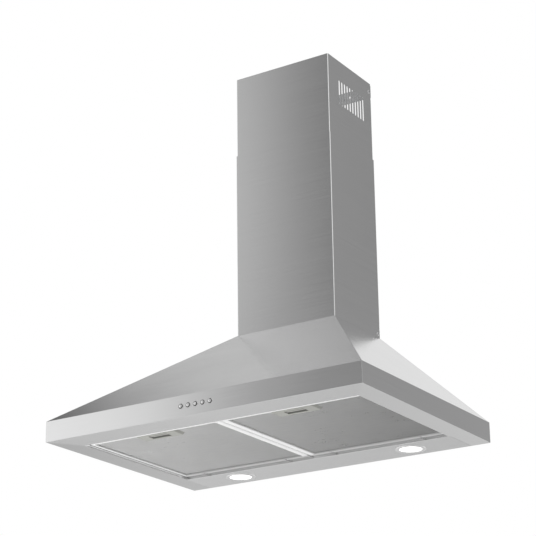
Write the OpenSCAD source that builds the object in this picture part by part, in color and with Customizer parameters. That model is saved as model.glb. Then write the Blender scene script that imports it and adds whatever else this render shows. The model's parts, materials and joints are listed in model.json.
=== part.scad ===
// Wall-mounted chimney range hood, millimetres.
// Origin: on the wall plane, in the middle of the width, level with the underside of the rim.
// +X is to the right of a person facing the hood, +Y points into the wall, +Z is up.

/* [Canopy] */
// Width of the canopy
canopy_w = 700; // [640:10:900]
// Depth of the canopy from the wall to the front band
canopy_d = 500; // [480:5:540]
// Height of the upright band round the canopy
band_h = 41; // [34:1:60]
// Height of the canopy from its underside to the foot of the chimney
canopy_h = 256; // [250:1:300]
// Thickness of the stainless sheet
sheet_t = 1; // [0.8:0.1:1.2]
// Thickness of the galvanised inner sheet
inner_t = 1.2; // [1:0.1:1.5]
// Width of the flange round the top opening
top_flange_w = 10; // [8:1:12]

/* [Chimney] */
// Width of the lower chimney cover
chimney_w = 230; // [226:1:260]
// Depth of the lower chimney cover
chimney_d = 183; // [180:1:200]
// Height of the lower chimney cover
lower_cover_h = 398; // [340:1:420]
// Height of the upper chimney cover
upper_cover_h = 400; // [380:1:460]
// Height of the upper cover that stands above the lower one
upper_cover_show = 178; // [150:1:200]
// Thickness of the chimney sheet
cover_t = 0.8; // [0.6:0.1:1]
// Gap between the two chimney covers
cover_gap = 0.7; // [0.5:0.1:0.9]
// Number of vent slots in each side
vent_count = 10; // [4:1:10]
// Width of a vent slot
vent_w = 5; // [3:0.5:7]
// Height of a vent slot
vent_h = 55; // [40:1:60]
// Distance from one vent slot to the next
vent_pitch = 11; // [9:0.5:12]

/* [Underside] */
// Width of the front rim
rim_front_w = 64; // [50:1:70]
// Width of the side rims beside the filters
rim_side_w = 45; // [40:1:55]
// Height of the lip round the filter opening
rim_lip_h = 5; // [3:0.5:5]
// Depth of the lamp panel from the wall
lamp_panel_d = 90; // [80:1:95]
// How far the lamp panel reaches over the side rims
lamp_panel_lap = 4; // [3:0.5:6]
// Height of the tray walls above the rim
tray_h = 22; // [22:1:26]

/* [Filters] */
// Thickness of a filter
filter_t = 8; // [7:0.5:9]
// Height of the filters above the rim
filter_z = 5; // [4:0.5:6]
// Seam between the two filters
filter_seam = 3.4; // [2:0.2:5]
// Width of the frame along the front of a filter
frame_front_w = 20; // [14:1:22]
// Width of the frame along the middle and the rear
frame_w = 12; // [10:0.5:14]
// Width of the frame along the outer side
frame_outer_w = 6; // [4:0.5:8]
// Width of the latch housing
handle_w = 88; // [70:1:100]
// Depth of the latch housing
handle_d = 33; // [30:1:36]
// Travel of the latch slider
latch_travel = 6; // [4:0.5:6]

/* [Lamps] */
// Distance of each lamp from the side of the canopy
lamp_side = 150; // [120:5:180]
// Distance of each lamp from the wall
lamp_wall = 46.7; // [42:0.1:50]
// Radius of the lamp bezel
bezel_r = 31; // [30:0.5:34]
// Radius of the visible lens
lens_r = 23; // [18:0.5:24]

/* [Buttons] */
// Distance from one button to the next
button_pitch = 16.1; // [14:0.1:18]
// Height of the buttons above the underside
button_z = 20.2; // [18:0.1:22]
// Radius of a button
button_r = 4.4; // [3.5:0.1:4.6]
// Radius of the ring round a button
button_ring_r = 5.8; // [5.5:0.1:6.4]
// Travel of a button
button_travel = 2.5; // [1.5:0.5:3]

/* [Blower] */
// Distance of the blower axis from the wall
blower_y = 128; // [126:1:132]
// Height of the blower axis
blower_z = 134; // [132:1:138]
// Width of the blower housing
scroll_w = 170; // [150:2:172]
// Radius of the impeller
impeller_r = 70; // [60:1:72]
// Number of impeller blades
blade_count = 30; // [20:1:36]
// Radius of the motor
motor_r = 42; // [36:1:44]
// Outer radius of the duct spigot
spigot_r = 74.5; // [60:0.5:75]
// Height of the duct spigot above the blower plate
spigot_h = 50; // [46:1:60]

/* [Hidden] */
$fn = 96;

// Overrun of every cut
over = 1;
// Clearance of a shaft or pin in its bore
run_gap = 0.1;
// Clearance between pieces that slide past each other
slide_gap = 0.3;
// Clearance between fixed pieces that sit beside each other
seat_gap = 0.1;
// Radius of a small screw
screw_r = 2;
// Radius of its head
screw_head_r = 3.8;
// Thickness of its head
screw_head_t = 2;
// Length of its shank
screw_l = 8;

// Slopes of the pyramid: rise for each unit of run
slope_h = canopy_h - band_h;
front_slope = slope_h / (canopy_d - chimney_d);
side_slope = slope_h / ((canopy_w - chimney_w) / 2);

// Places on the underside
open_w = canopy_w - 2 * rim_side_w;
open_front = canopy_d - rim_front_w;
lamp_panel_w = open_w + 2 * lamp_panel_lap;
panel_seam = 0.4;
tray_flange_w = 14;
tray_bottom = sheet_t;
tray_top = sheet_t + tray_h;
tray_inner_front = open_front + sheet_t;
tray_inner_w = open_w + 2 * sheet_t;
beam_y = lamp_panel_d - sheet_t;
lamp_wall_h = 12;
lamp_x = canopy_w / 2 - lamp_side;

// Filter sizes and places
filter_side_gap = 0.8;
filter_front_gap = 1;
filter_top = filter_z + filter_t;
filter_inner_x = filter_seam / 2;
filter_outer_x = open_w / 2 - filter_side_gap;
filter_mid_x = (filter_inner_x + filter_outer_x) / 2;
filter_front_y = open_front - filter_front_gap;
hinge_gap = 0.5;
hinge_r = filter_t / 2;
hinge_y = lamp_panel_d + hinge_gap + hinge_r;
hinge_z = filter_z + hinge_r;
rear_bar_y = hinge_y + frame_w - hinge_r;
wall_t = 1.2;
mesh_layers = 3;
mesh_layer_t = 0.6;
mesh_layer_pitch = (filter_t - 2 * wall_t - mesh_layer_t) / (mesh_layers - 1);
hook_spread = 100;
hook_w = 6;
hook_gap = 1;
hook_pin_r = 1.5;
notch_w = hook_w + 2 * hook_gap;
rail_w = 16;
rail_z = filter_top + slide_gap;
rail_web_t = 2.4;

// Latch housing, slider and catch, listed from the underside upwards
handle_proud = 0.8;
handle_z = filter_z - handle_proud;
handle_gap = 1;
handle_front = filter_front_y - frame_front_w - handle_gap;
handle_margin = 2;
handle_rise = 7;
handle_top = filter_top + handle_rise;
pocket_w = 42;
pocket_d = 18;
pocket_h = 8;
pocket_margin = 7.5;
pocket_front = handle_front - pocket_margin;
pocket_top = handle_z + pocket_h;
latch_bar_gap = 0.5;
latch_bar_w = pocket_w - 2 * latch_bar_gap;
latch_bar_t = 5;
latch_bar_sunk = 1;
latch_slot = 4.5;
latch_bar_front = pocket_front - latch_slot;
tongue_w = 24;
tongue_t = 2;
tongue_rise = 2;
tongue_tail = 3;
tongue_z = filter_top + tongue_rise;
neck_w = 12;
catch_t = 1.2;
catch_reach = 7;
catch_w = 40;
catch_gap = 0.5;
catch_z = filter_top + catch_gap;
catch_edge = tray_inner_front - catch_reach;
tongue_tip = catch_edge - slide_gap;
tongue_rear = latch_bar_front - latch_bar_t - tongue_tail;
spring_bore_r = 2.4;
spring_coil_r = 1.7;
spring_wire_r = 0.3;
spring_turns = 5;
spring_l = 8;
spring_wall = 1.5;
spring_steps = 10;
spring_sides = 6;
spring_z = tongue_z + tongue_t / 2;
spring_rear = tongue_rear - spring_l;

// Lamps
bezel_t = 1.2;
bezel_flange_w = 3.3;
bezel_sleeve_r = bezel_r - bezel_flange_w;
bezel_sleeve_h = 10;
bezel_wall = 2.5;
lens_t = 2;
lamp_body_h = 22;
fin_count = 12;
fin_t = 1.6;
fin_depth = 5;

// Buttons and switch block, with a node for each of the five buttons
button_count = 5;
ring_bore_r = button_r + slide_gap;
ring_proud = 0.8;
ring_wall = 0.6;
ring_sleeve_r = ring_bore_r + ring_wall;
ring_sleeve_l = 3;
button_proud = 2.2;
button_l = 12;
button_stem_r = 1.6;
button_stem_l = 10;
button_dome = 0.6;
switch_margin = 10;
switch_flange_t = 2;
switch_h = 20;
switch_d = 24;
switch_tail_h = 12;
button_row_w = (button_count - 1) * button_pitch;

// Blower
scroll_t = 2;
scroll_gap_start = 10;
scroll_gap_end = 46;
scroll_r_start = impeller_r + scroll_gap_start;
scroll_r_end = impeller_r + scroll_gap_end;
scroll_start_angle = 20;
scroll_end_angle = 270;
scroll_steps = 50;
plate_bottom = canopy_h - sheet_t - inner_t;
scroll_flange_w = 12;
scroll_flange_t = 2;
scroll_rib_w = 4;
inlet_lap = 8;
inlet_r = impeller_r - inlet_lap;
impeller_side_gap = 25;
impeller_w = scroll_w - 2 * impeller_side_gap;
blade_t = 1;
blade_depth = 12;
blade_angle = 32;
disc_t = 2;
rim_ring_t = 2;
rim_ring_w = 4;
hub_r = 12;
hub_l = 20;
shaft_r = 4;
shaft_front = 20;
motor_l = 60;
motor_cap_step = 10;
motor_cap_r = motor_r - motor_cap_step;
motor_cap_l = 6;
motor_fin_count = 24;
motor_fin_t = 2;
motor_groove = 1.6;
bracket_t = 3;
bracket_arm_w = 12;
bracket_arm_count = 3;
bracket_ring_w = 12;
bracket_out_r = inlet_r + bracket_ring_w;
bracket_hub_r = 26;
guard_t = 2;
guard_ring_w = 2;
guard_ring_count = 3;
guard_lap = 6;
guard_out_r = inlet_r + guard_lap;
nut_r = 6.5;
nut_t = 6;
blower_screw_r = 2.5;
blower_screw_y = [150, 24];
blower_screw_l = 4.2;
scroll_lug_r = 6;
scroll_lug_angles = [75, 130, 210, 250];

// Duct spigot and flaps
spigot_t = 2;
spigot_y = 86;
spigot_flange_w = 7.5;
spigot_flange_t = 2;
plate_hole_step = 2;
plate_hole_r = spigot_r - spigot_t - plate_hole_step;
flap_pin_r = 1.5;
flap_pin_rise = 8;
flap_pin_z = canopy_h + flap_pin_rise;
flap_t = 1.5;
flap_knuckle_r = 3;
flap_knuckle_l = 20;
flap_edge = 3.6;
flap_ledge_w = 3;
flap_ledge_t = 2;

// Electrics on the rear panel
box_w = 92;
box_h = 62;
box_d = 40;
box_t = 2;
box_x = 175;
box_z = 50;
lid_t = 2;
terminal_w = 36;
terminal_h = 16;
terminal_d = 14;
terminal_ways = 3;
terminal_z = box_z + box_h / 3;
capacitor_r = 13;
capacitor_l = 50;
gland_r = 10;
gland_thread_r = 8;
gland_l = 18;
gland_bore_r = 4;
gland_nut_r = 13;
gland_nut_t = 5;
driver_w = 90;
driver_h = 32;
driver_d = 22;
driver_x = -175;
driver_z = 60;
driver_ear_w = 10;
driver_ear_t = 2;

// Chimney details
upper_inset = cover_t + cover_gap;
upper_w = chimney_w - 2 * upper_inset;
upper_d = chimney_d - upper_inset;
lower_top = canopy_h + lower_cover_h;
upper_top = lower_top + upper_cover_show;
upper_bottom = upper_top - upper_cover_h;
return_w = 12;
notch_d = 2;
lower_notch_h = 31;
upper_notch_h = 38;
cover_screw_r = 2.2;
lower_screw_rise = 7.5;
lower_screw_z = canopy_h + lower_screw_rise;
lower_screw_y = 9;
upper_screw_drop = 21;
upper_screw_z = upper_top - upper_screw_drop;
upper_screw_y = 10.5;
vent_drop = 45;
vent_top = upper_top - vent_drop;
vent_first_y = 37.5;
ear_h = 18;
ear_d = 20;
wall_bracket_h = 28;
wall_bracket_drop = 31;
wall_bracket_z = upper_top - wall_bracket_drop;
wall_bracket_t = 1.5;
wall_hole_r = 3;
wall_hole_spread = 120;
tab_d = 22;

// Hanging holes in the rear panel
hang_spread = 260;
hang_drop = 66;
hang_z = canopy_h - hang_drop;
hang_r = 6;
hang_slot_r = 3;
hang_slot_h = 12;
safety_spread = 560;
safety_z = 26;

// Basic shapes

module yz_prism(points, x0, x1) {
    translate([x0, 0, 0]) rotate([90, 0, 90]) linear_extrude(x1 - x0) polygon(points);
}

module xz_prism(points, y0, y1) {
    translate([0, y1, 0]) rotate([90, 0, 0]) linear_extrude(y1 - y0) polygon(points);
}

module block(x0, x1, y0, y1, z0, z1) {
    translate([x0, y0, z0]) cube([x1 - x0, y1 - y0, z1 - z0]);
}

module x_rod(r, x0, x1, y, z) {
    translate([x0, y, z]) rotate([0, 90, 0]) cylinder(r = r, h = x1 - x0);
}

module y_rod(r, y0, y1, x, z) {
    translate([x, y1, z]) rotate([90, 0, 0]) cylinder(r = r, h = y1 - y0);
}

module z_rod(r, z0, z1, x, y) {
    translate([x, y, z0]) cylinder(r = r, h = z1 - z0);
}

// Canopy

function slant(slope) = sqrt(1 + slope * slope);

// Side view of the canopy, drawn in by the sheet thickness t
function side_view(t) = [
    [-canopy_d + t, t],
    [0, t],
    [0, canopy_h - t],
    [-canopy_d + (canopy_h - t - band_h + t * slant(front_slope)) / front_slope, canopy_h - t],
    [-canopy_d + t, band_h + t * front_slope - t * slant(front_slope)]
];

// Half width of the canopy at its top, drawn in by t
function top_half(t) =
    canopy_w / 2 - (canopy_h - t - band_h + t * slant(side_slope)) / side_slope;

// Front view of the canopy, drawn in by the sheet thickness t
function front_view(t) = [
    [-canopy_w / 2 + t, t],
    [canopy_w / 2 - t, t],
    [canopy_w / 2 - t, band_h + t * side_slope - t * slant(side_slope)],
    [top_half(t), canopy_h - t],
    [-top_half(t), canopy_h - t],
    [-canopy_w / 2 + t, band_h + t * side_slope - t * slant(side_slope)]
];

module canopy_form(t) {
    intersection() {
        yz_prism(side_view(t), -canopy_w / 2, canopy_w / 2);
        xz_prism(front_view(t), -canopy_d, 0);
    }
}

module canopy_inside() {
    canopy_form(sheet_t);
    xz_prism(front_view(sheet_t), -sheet_t, over);
}

module rim_lip() {
    difference() {
        block(-open_w / 2 - sheet_t, open_w / 2 + sheet_t, -open_front - sheet_t, -lamp_panel_d,
            0, rim_lip_h);
        block(-open_w / 2, open_w / 2, -open_front, over, -over, rim_lip_h + over);
    }
}

module canopy_shell() {
    color("silver") {
        difference() {
            canopy_form(0);
            canopy_inside();
            block(-open_w / 2, open_w / 2, -open_front, over, -over, tray_top);
            block(-lamp_panel_w / 2, lamp_panel_w / 2, -lamp_panel_d, over, -over, sheet_t + over);
            block(-chimney_w / 2 + top_flange_w, chimney_w / 2 - top_flange_w,
                -chimney_d + top_flange_w, over, canopy_h - sheet_t - over, canopy_h + over);
            for (i = [0 : button_count - 1])
                y_rod(ring_sleeve_r + seat_gap, -canopy_d - over, -canopy_d + sheet_t + over,
                    button_x(i), button_z);
        }
        rim_lip();
    }
}

module keyhole(x) {
    y_rod(hang_r, -inner_t - over, over, x, hang_z);
    y_rod(hang_slot_r, -inner_t - over, over, x, hang_z + hang_slot_h);
    block(x - hang_slot_r, x + hang_slot_r, -inner_t - over, over, hang_z, hang_z + hang_slot_h);
}

module rear_ear(side) {
    inner = chimney_w / 2 - cover_t;
    mirror([side < 0 ? 1 : 0, 0, 0]) difference() {
        block(inner - inner_t, inner, -ear_d, 0, canopy_h, canopy_h + ear_h);
        x_rod(cover_screw_r, inner - inner_t - over, inner + over, -lower_screw_y, lower_screw_z);
    }
}

module rear_panel() {
    color("lightgray") {
        difference() {
            intersection() {
                xz_prism(front_view(sheet_t), -inner_t, 0);
                block(-canopy_w, canopy_w, -inner_t, 0, sheet_t, canopy_h - sheet_t);
            }
            for (side = [-1, 1]) {
                keyhole(side * hang_spread / 2);
                y_rod(hang_slot_r, -inner_t - over, over, side * safety_spread / 2, safety_z);
            }
        }
        block(-chimney_w / 2 + top_flange_w, chimney_w / 2 - top_flange_w, -inner_t, 0,
            canopy_h - ear_h, canopy_h + ear_h);
        block(-chimney_w / 2 + cover_t, chimney_w / 2 - cover_t, -inner_t, 0, canopy_h,
            canopy_h + ear_h);
        for (side = [-1, 1]) rear_ear(side);
    }
}

// Underside

module tray_frame() {
    outer_w = tray_inner_w + 2 * inner_t;
    outer_front = tray_inner_front + inner_t;
    color("gainsboro") {
        difference() {
            union() {
                block(-outer_w / 2 - tray_flange_w, outer_w / 2 + tray_flange_w,
                    -outer_front - tray_flange_w, -inner_t, tray_bottom, tray_bottom + inner_t);
                block(-outer_w / 2, outer_w / 2, -outer_front, -inner_t, tray_bottom, tray_top);
            }
            block(-tray_inner_w / 2, tray_inner_w / 2, -tray_inner_front, over,
                tray_bottom - over, tray_top + over);
        }
        block(-tray_inner_w / 2, tray_inner_w / 2, -beam_y, -beam_y + inner_t, tray_bottom, tray_top);
    }
}

module centre_rail() {
    color("lightgray") {
        block(-rail_w / 2, rail_w / 2, -tray_inner_front, -beam_y, rail_z, rail_z + inner_t);
        block(-rail_web_t / 2, rail_web_t / 2, -tray_inner_front, -beam_y, rail_z, tray_top);
    }
}

module latch_catches() {
    color("silver") for (side = [-1, 1]) translate([side * filter_mid_x, 0, 0]) {
        block(-catch_w / 2, catch_w / 2, -tray_inner_front, -catch_edge, catch_z, catch_z + catch_t);
        block(-catch_w / 2, catch_w / 2, -tray_inner_front, -tray_inner_front + catch_t,
            catch_z, tray_top);
    }
}

function hook_places() = [
    for (side = [-1, 1]) for (end = [-1, 1]) side * filter_mid_x + end * hook_spread
];

module hinge_hook() {
    stem_r = hinge_r - hinge_gap;
    arm_z = lamp_wall_h + sheet_t;
    difference() {
        union() {
            x_rod(stem_r, -hook_w / 2, hook_w / 2, -hinge_y, hinge_z);
            block(-hook_w / 2, hook_w / 2, -hinge_y - stem_r, -hinge_y + stem_r, hinge_z,
                arm_z + inner_t);
            block(-hook_w / 2, hook_w / 2, -hinge_y - stem_r, -beam_y, arm_z, tray_top);
        }
        x_rod(hook_pin_r + run_gap, -hook_w, hook_w, -hinge_y, hinge_z);
    }
}

module hinge_hooks() {
    color("silver") for (x = hook_places()) translate([x, 0, 0]) hinge_hook();
}

module lamp_panel() {
    half = lamp_panel_w / 2 - panel_seam;
    color("silver") difference() {
        union() {
            block(-half, half, -lamp_panel_d, 0, 0, sheet_t);
            block(-open_w / 2, open_w / 2, -lamp_panel_d, -beam_y, 0, lamp_wall_h);
        }
        for (side = [-1, 1])
            z_rod(bezel_sleeve_r + seat_gap, -over, sheet_t + over, side * lamp_x, -lamp_wall);
    }
}

// Lamps

module lamp_bezel(side) {
    color("whitesmoke") translate([side * lamp_x, -lamp_wall, 0]) difference() {
        union() {
            z_rod(bezel_r, -bezel_t, 0, 0, 0);
            z_rod(bezel_sleeve_r, 0, bezel_sleeve_h, 0, 0);
        }
        z_rod(lens_r, -bezel_t - over, over, 0, 0);
        z_rod(bezel_sleeve_r - bezel_wall, 0, bezel_sleeve_h + over, 0, 0);
    }
}

module lamp_lens(side) {
    color("white") translate([side * lamp_x, -lamp_wall, 0])
        z_rod(bezel_sleeve_r - bezel_wall - seat_gap, 0, lens_t, 0, 0);
}

module lamp_body(side) {
    r = bezel_sleeve_r - bezel_wall - seat_gap;
    color("dimgray") translate([side * lamp_x, -lamp_wall, 0]) difference() {
        z_rod(r, lens_t, lamp_body_h, 0, 0);
        for (i = [0 : fin_count - 1]) rotate([0, 0, 360 * i / fin_count])
            block(r - fin_depth, r + over, -fin_t / 2, fin_t / 2, bezel_sleeve_h + over,
                lamp_body_h + over);
    }
}

// Buttons

function button_x(i) = (i - (button_count - 1) / 2) * button_pitch;

module button_rings() {
    color("gainsboro") for (i = [0 : button_count - 1]) translate([button_x(i), 0, button_z])
        difference() {
            union() {
                y_rod(button_ring_r, -canopy_d - ring_proud, -canopy_d, 0, 0);
                y_rod(ring_sleeve_r, -canopy_d, -canopy_d + ring_sleeve_l, 0, 0);
            }
            y_rod(ring_bore_r, -canopy_d - ring_proud - over, -canopy_d + ring_sleeve_l + over, 0, 0);
        }
}

module switch_block() {
    half_w = button_row_w / 2 + switch_margin;
    front = -canopy_d + sheet_t;
    back = front + switch_flange_t + switch_d;
    color("dimgray") difference() {
        union() {
            block(-half_w - switch_margin, half_w + switch_margin, front, front + switch_flange_t,
                button_z - switch_h / 2, button_z + switch_h / 2);
            block(-half_w, half_w, front, back, button_z - switch_tail_h / 2,
                button_z + switch_tail_h / 2);
        }
        for (i = [0 : button_count - 1]) {
            y_rod(ring_sleeve_r + seat_gap, front - over, -canopy_d + ring_sleeve_l,
                button_x(i), button_z);
            y_rod(ring_bore_r, front - over, button_back() + button_travel + slide_gap,
                button_x(i), button_z);
            y_rod(button_stem_r + slide_gap, front, back + over, button_x(i), button_z);
        }
        for (side = [-1, 1])
            y_rod(screw_r + seat_gap, front - over, front + switch_flange_t + over,
                side * (half_w + switch_margin / 2), button_z);
    }
}

module switch_screws() {
    half_w = button_row_w / 2 + switch_margin;
    front = -canopy_d + sheet_t;
    color("silver") for (side = [-1, 1]) translate([side * (half_w + switch_margin / 2), 0, 0]) {
        y_rod(screw_r, front, front + switch_flange_t, 0, button_z);
        y_rod(screw_head_r, front + switch_flange_t, front + switch_flange_t + screw_head_t,
            0, button_z);
    }
}

function button_back() = -canopy_d - button_proud + button_l;

module push_button(i) {
    color("gainsboro") translate([button_x(i), 0, button_z]) {
        y_rod(button_r, -canopy_d - button_proud, button_back(), 0, 0);
        y_rod(button_stem_r, button_back(), button_back() + button_stem_l, 0, 0);
        translate([0, -canopy_d - button_proud, 0]) rotate([90, 0, 0]) rotate_extrude()
            polygon([[0, 0], [button_r - button_dome, 0], [button_r - 2 * button_dome, button_dome],
                [0, button_dome]]);
    }
}

// Blower

function scroll_radius(a) = scroll_r_start
    + (scroll_r_end - scroll_r_start) * (a - scroll_start_angle) / (scroll_end_angle - scroll_start_angle);

// Outline of the scroll with its outlet, grown outwards by g
function scroll_outline(g, top) = concat(
    [for (i = [0 : scroll_steps])
        let (a = scroll_start_angle + (scroll_end_angle - scroll_start_angle) * i / scroll_steps)
        [-blower_y - (scroll_radius(a) + g) * sin(a), blower_z + (scroll_radius(a) + g) * cos(a)]],
    [[-blower_y + scroll_r_end + g, top],
        [-blower_y - (scroll_r_start + g) * sin(scroll_start_angle) - g, top]]
);

module scroll_lug(a) {
    r = scroll_radius(a) + screw_head_r + seat_gap;
    translate([0, -blower_y - r * sin(a), blower_z + r * cos(a)]) children();
}

module scroll_half(side) {
    half = scroll_w / 2;
    mirror([side < 0 ? 1 : 0, 0, 0]) difference() {
        union() {
            yz_prism(scroll_outline(0, plate_bottom), 0, half);
            yz_prism(scroll_outline(scroll_rib_w, plate_bottom - scroll_flange_t), 0, scroll_t);
            block(half, half + scroll_flange_w, -blower_screw_y[0] - scroll_flange_w,
                -blower_screw_y[1] + scroll_flange_w, plate_bottom - scroll_flange_t, plate_bottom);
            x_rod(inlet_r + scroll_flange_w, half, half + scroll_t, -blower_y, blower_z);
            for (a = scroll_lug_angles) scroll_lug(a) x_rod(scroll_lug_r, 0, 2 * scroll_t, 0, 0);
        }
        yz_prism(scroll_outline(-scroll_t, plate_bottom + over), -over, half - scroll_t);
        x_rod(inlet_r, half - scroll_t - over, half + scroll_t + over, -blower_y, blower_z);
        for (y = blower_screw_y)
            z_rod(blower_screw_r, plate_bottom - scroll_flange_t - over, plate_bottom + over,
                half + scroll_flange_w / 2, -y);
        for (a = scroll_lug_angles) scroll_lug(a) x_rod(screw_r, -over, 2 * scroll_t + over, 0, 0);
    }
}

module scroll_left() {
    color("dimgray") scroll_half(-1);
}

module scroll_right() {
    color("gray") scroll_half(1);
}

module scroll_screws() {
    color("silver") for (a = scroll_lug_angles) scroll_lug(a) {
        x_rod(screw_r, -2 * scroll_t, 2 * scroll_t, 0, 0);
        x_rod(screw_head_r, 2 * scroll_t, 2 * scroll_t + screw_head_t, 0, 0);
    }
}

module blower_plate() {
    half = chimney_w / 2 - sheet_t;
    color("lightgray") difference() {
        block(-half, half, -chimney_d + sheet_t, -inner_t, plate_bottom, plate_bottom + inner_t);
        z_rod(plate_hole_r, plate_bottom - over, plate_bottom + inner_t + over, 0, -spigot_y);
        for (side = [-1, 1]) for (y = blower_screw_y)
            z_rod(blower_screw_r, plate_bottom - over, plate_bottom + inner_t + over,
                side * (scroll_w + scroll_flange_w) / 2, -y);
    }
}

module blower_screws() {
    top = plate_bottom + inner_t;
    color("silver") for (side = [-1, 1]) for (y = blower_screw_y)
        translate([side * (scroll_w + scroll_flange_w) / 2, -y, 0]) {
            z_rod(blower_screw_r, top - blower_screw_l, top, 0, 0);
            z_rod(screw_head_r, top, top + screw_head_t, 0, 0);
        }
}

module blower_axis() {
    translate([0, -blower_y, blower_z]) children();
}

// Blades of the impeller, grown by g on every side that the disc holds
module impeller_blades(g) {
    half = impeller_w / 2 - rim_ring_t - seat_gap;
    for (i = [0 : blade_count - 1]) rotate([360 * i / blade_count, 0, 0])
        translate([0, 0, impeller_r - rim_ring_w / 2]) rotate([blade_angle, 0, 0])
            block(-half, half, -blade_t / 2 - g, blade_t / 2 + g, -blade_depth - g, g);
}

module impeller() {
    half = impeller_w / 2;
    color("lightgray") blower_axis() {
        difference() {
            union() {
                x_rod(impeller_r, -disc_t / 2, disc_t / 2, 0, 0);
                x_rod(hub_r, -hub_l / 2, hub_l / 2, 0, 0);
            }
            x_rod(shaft_r, -hub_l, hub_l, 0, 0);
            impeller_blades(seat_gap);
        }
        impeller_blades(0);
        for (side = [-1, 1]) difference() {
            x_rod(impeller_r, min(side * half, side * (half - rim_ring_t)),
                max(side * half, side * (half - rim_ring_t)), 0, 0);
            x_rod(impeller_r - rim_ring_w, -half - over, half + over, 0, 0);
        }
    }
}

module motor_shaft() {
    color("silver") blower_axis() x_rod(shaft_r, motor_back(), shaft_front, 0, 0);
}

function motor_back() = -scroll_w / 2 - scroll_t;

module motor() {
    back = motor_back();
    color("dimgray") blower_axis() difference() {
        union() {
            x_rod(motor_cap_r, back, back + motor_cap_l, 0, 0);
            x_rod(motor_r, back + motor_cap_l, back + motor_cap_l + motor_l, 0, 0);
            x_rod(motor_cap_r, back + motor_cap_l + motor_l, back + 2 * motor_cap_l + motor_l, 0, 0);
        }
        x_rod(shaft_r + run_gap, back - over, 0, 0, 0);
        for (i = [0 : motor_fin_count - 1]) rotate([360 * i / motor_fin_count, 0, 0])
            block(back + 2 * motor_cap_l, back + motor_l, -motor_fin_t / 2, motor_fin_t / 2,
                motor_r - motor_groove, motor_r + over);
    }
}

module motor_bracket() {
    back = motor_back();
    color("silver") blower_axis() difference() {
        union() {
            x_rod(bracket_hub_r, back - bracket_t, back, 0, 0);
            difference() {
                x_rod(bracket_out_r, back - bracket_t, back, 0, 0);
                x_rod(inlet_r, back - bracket_t - over, back + over, 0, 0);
            }
            for (i = [0 : bracket_arm_count - 1]) rotate([360 * i / bracket_arm_count, 0, 0])
                block(back - bracket_t, back, -bracket_arm_w / 2, bracket_arm_w / 2, 0,
                    inlet_r + over);
        }
        x_rod(shaft_r + run_gap, back - bracket_t - over, back + over, 0, 0);
    }
}

module inlet_guard(x0) {
    x1 = x0 + guard_t;
    blower_axis() {
        for (i = [1 : guard_ring_count]) difference() {
            x_rod(guard_out_r * i / guard_ring_count, x0, x1, 0, 0);
            x_rod(guard_out_r * i / guard_ring_count - guard_ring_w, x0 - over, x1 + over, 0, 0);
        }
        for (i = [0 : 2]) rotate([180 * i / 3, 0, 0])
            block(x0, x1, -guard_ring_w / 2, guard_ring_w / 2, -guard_out_r + guard_ring_w / 2,
                guard_out_r - guard_ring_w / 2);
    }
}

module inlet_guard_left() {
    color("black") inlet_guard(motor_back() - bracket_t - guard_t);
}

module inlet_guard_right() {
    color("black") inlet_guard(scroll_w / 2 + scroll_t);
}

module impeller_nut() {
    color("silver") blower_axis() difference() {
        translate([hub_l / 2, 0, 0]) rotate([0, 90, 0]) cylinder(r = nut_r, h = nut_t, $fn = 6);
        x_rod(shaft_r, 0, hub_l, 0, 0);
    }
}

// Duct spigot with two flaps that open upwards

module duct_spigot() {
    foot = plate_bottom + inner_t;
    color("black") difference() {
        union() {
            z_rod(spigot_r, foot, foot + spigot_h, 0, -spigot_y);
            z_rod(spigot_r + spigot_flange_w, foot, foot + spigot_flange_t, 0, -spigot_y);
        }
        difference() {
            z_rod(spigot_r - spigot_t, foot - over, foot + spigot_h + over, 0, -spigot_y);
            difference() {
                z_rod(spigot_r, flap_ledge_z() - flap_ledge_t, flap_ledge_z(), 0, -spigot_y);
                z_rod(spigot_r - spigot_t - flap_ledge_w, foot - over, foot + spigot_h + over,
                    0, -spigot_y);
            }
        }
        x_rod(flap_pin_r, -spigot_r - over, spigot_r + over, -spigot_y, flap_pin_z);
    }
}

function flap_ledge_z() = flap_pin_z - flap_t / 2 - slide_gap;

module flap_pin() {
    color("silver") x_rod(flap_pin_r, -spigot_r, spigot_r, -spigot_y, flap_pin_z);
}

// A half disc on the side of +Y, with knuckles at the given places along the pin
module flap_half(knuckles) {
    r = spigot_r - spigot_t - slide_gap;
    difference() {
        union() {
            intersection() {
                z_rod(r, -flap_t / 2, flap_t / 2, 0, 0);
                block(-r, r, flap_edge, r, -flap_t, flap_t);
            }
            for (x = knuckles) {
                x_rod(flap_knuckle_r, x - flap_knuckle_l / 2, x + flap_knuckle_l / 2, 0, 0);
                block(x - flap_knuckle_l / 2, x + flap_knuckle_l / 2, 0, flap_edge + flap_t,
                    -flap_t / 2, flap_t / 2);
            }
        }
        x_rod(flap_pin_r + run_gap, -r, r, 0, 0);
    }
}

module flap_rear() {
    color("dimgray") translate([0, -spigot_y, flap_pin_z])
        flap_half([-2 * flap_knuckle_l, flap_knuckle_l]);
}

module flap_front() {
    color("dimgray") translate([0, -spigot_y, flap_pin_z]) rotate([0, 0, 180])
        flap_half([-2 * flap_knuckle_l, flap_knuckle_l]);
}

// Electrics

module junction_box() {
    front = -inner_t - box_d;
    color("ivory") difference() {
        block(box_x - box_w / 2, box_x + box_w / 2, front, -inner_t, box_z, box_z + box_h);
        block(box_x - box_w / 2 + box_t, box_x + box_w / 2 - box_t, front - over, -inner_t - box_t,
            box_z + box_t, box_z + box_h - box_t);
        z_rod(gland_thread_r, box_z + box_h - box_t - over, box_z + box_h + over, box_x,
            -inner_t - box_d / 2);
    }
}

module junction_lid() {
    front = -inner_t - box_d;
    color("ivory") block(box_x - box_w / 2, box_x + box_w / 2, front - lid_t, front, box_z,
        box_z + box_h);
}

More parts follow.
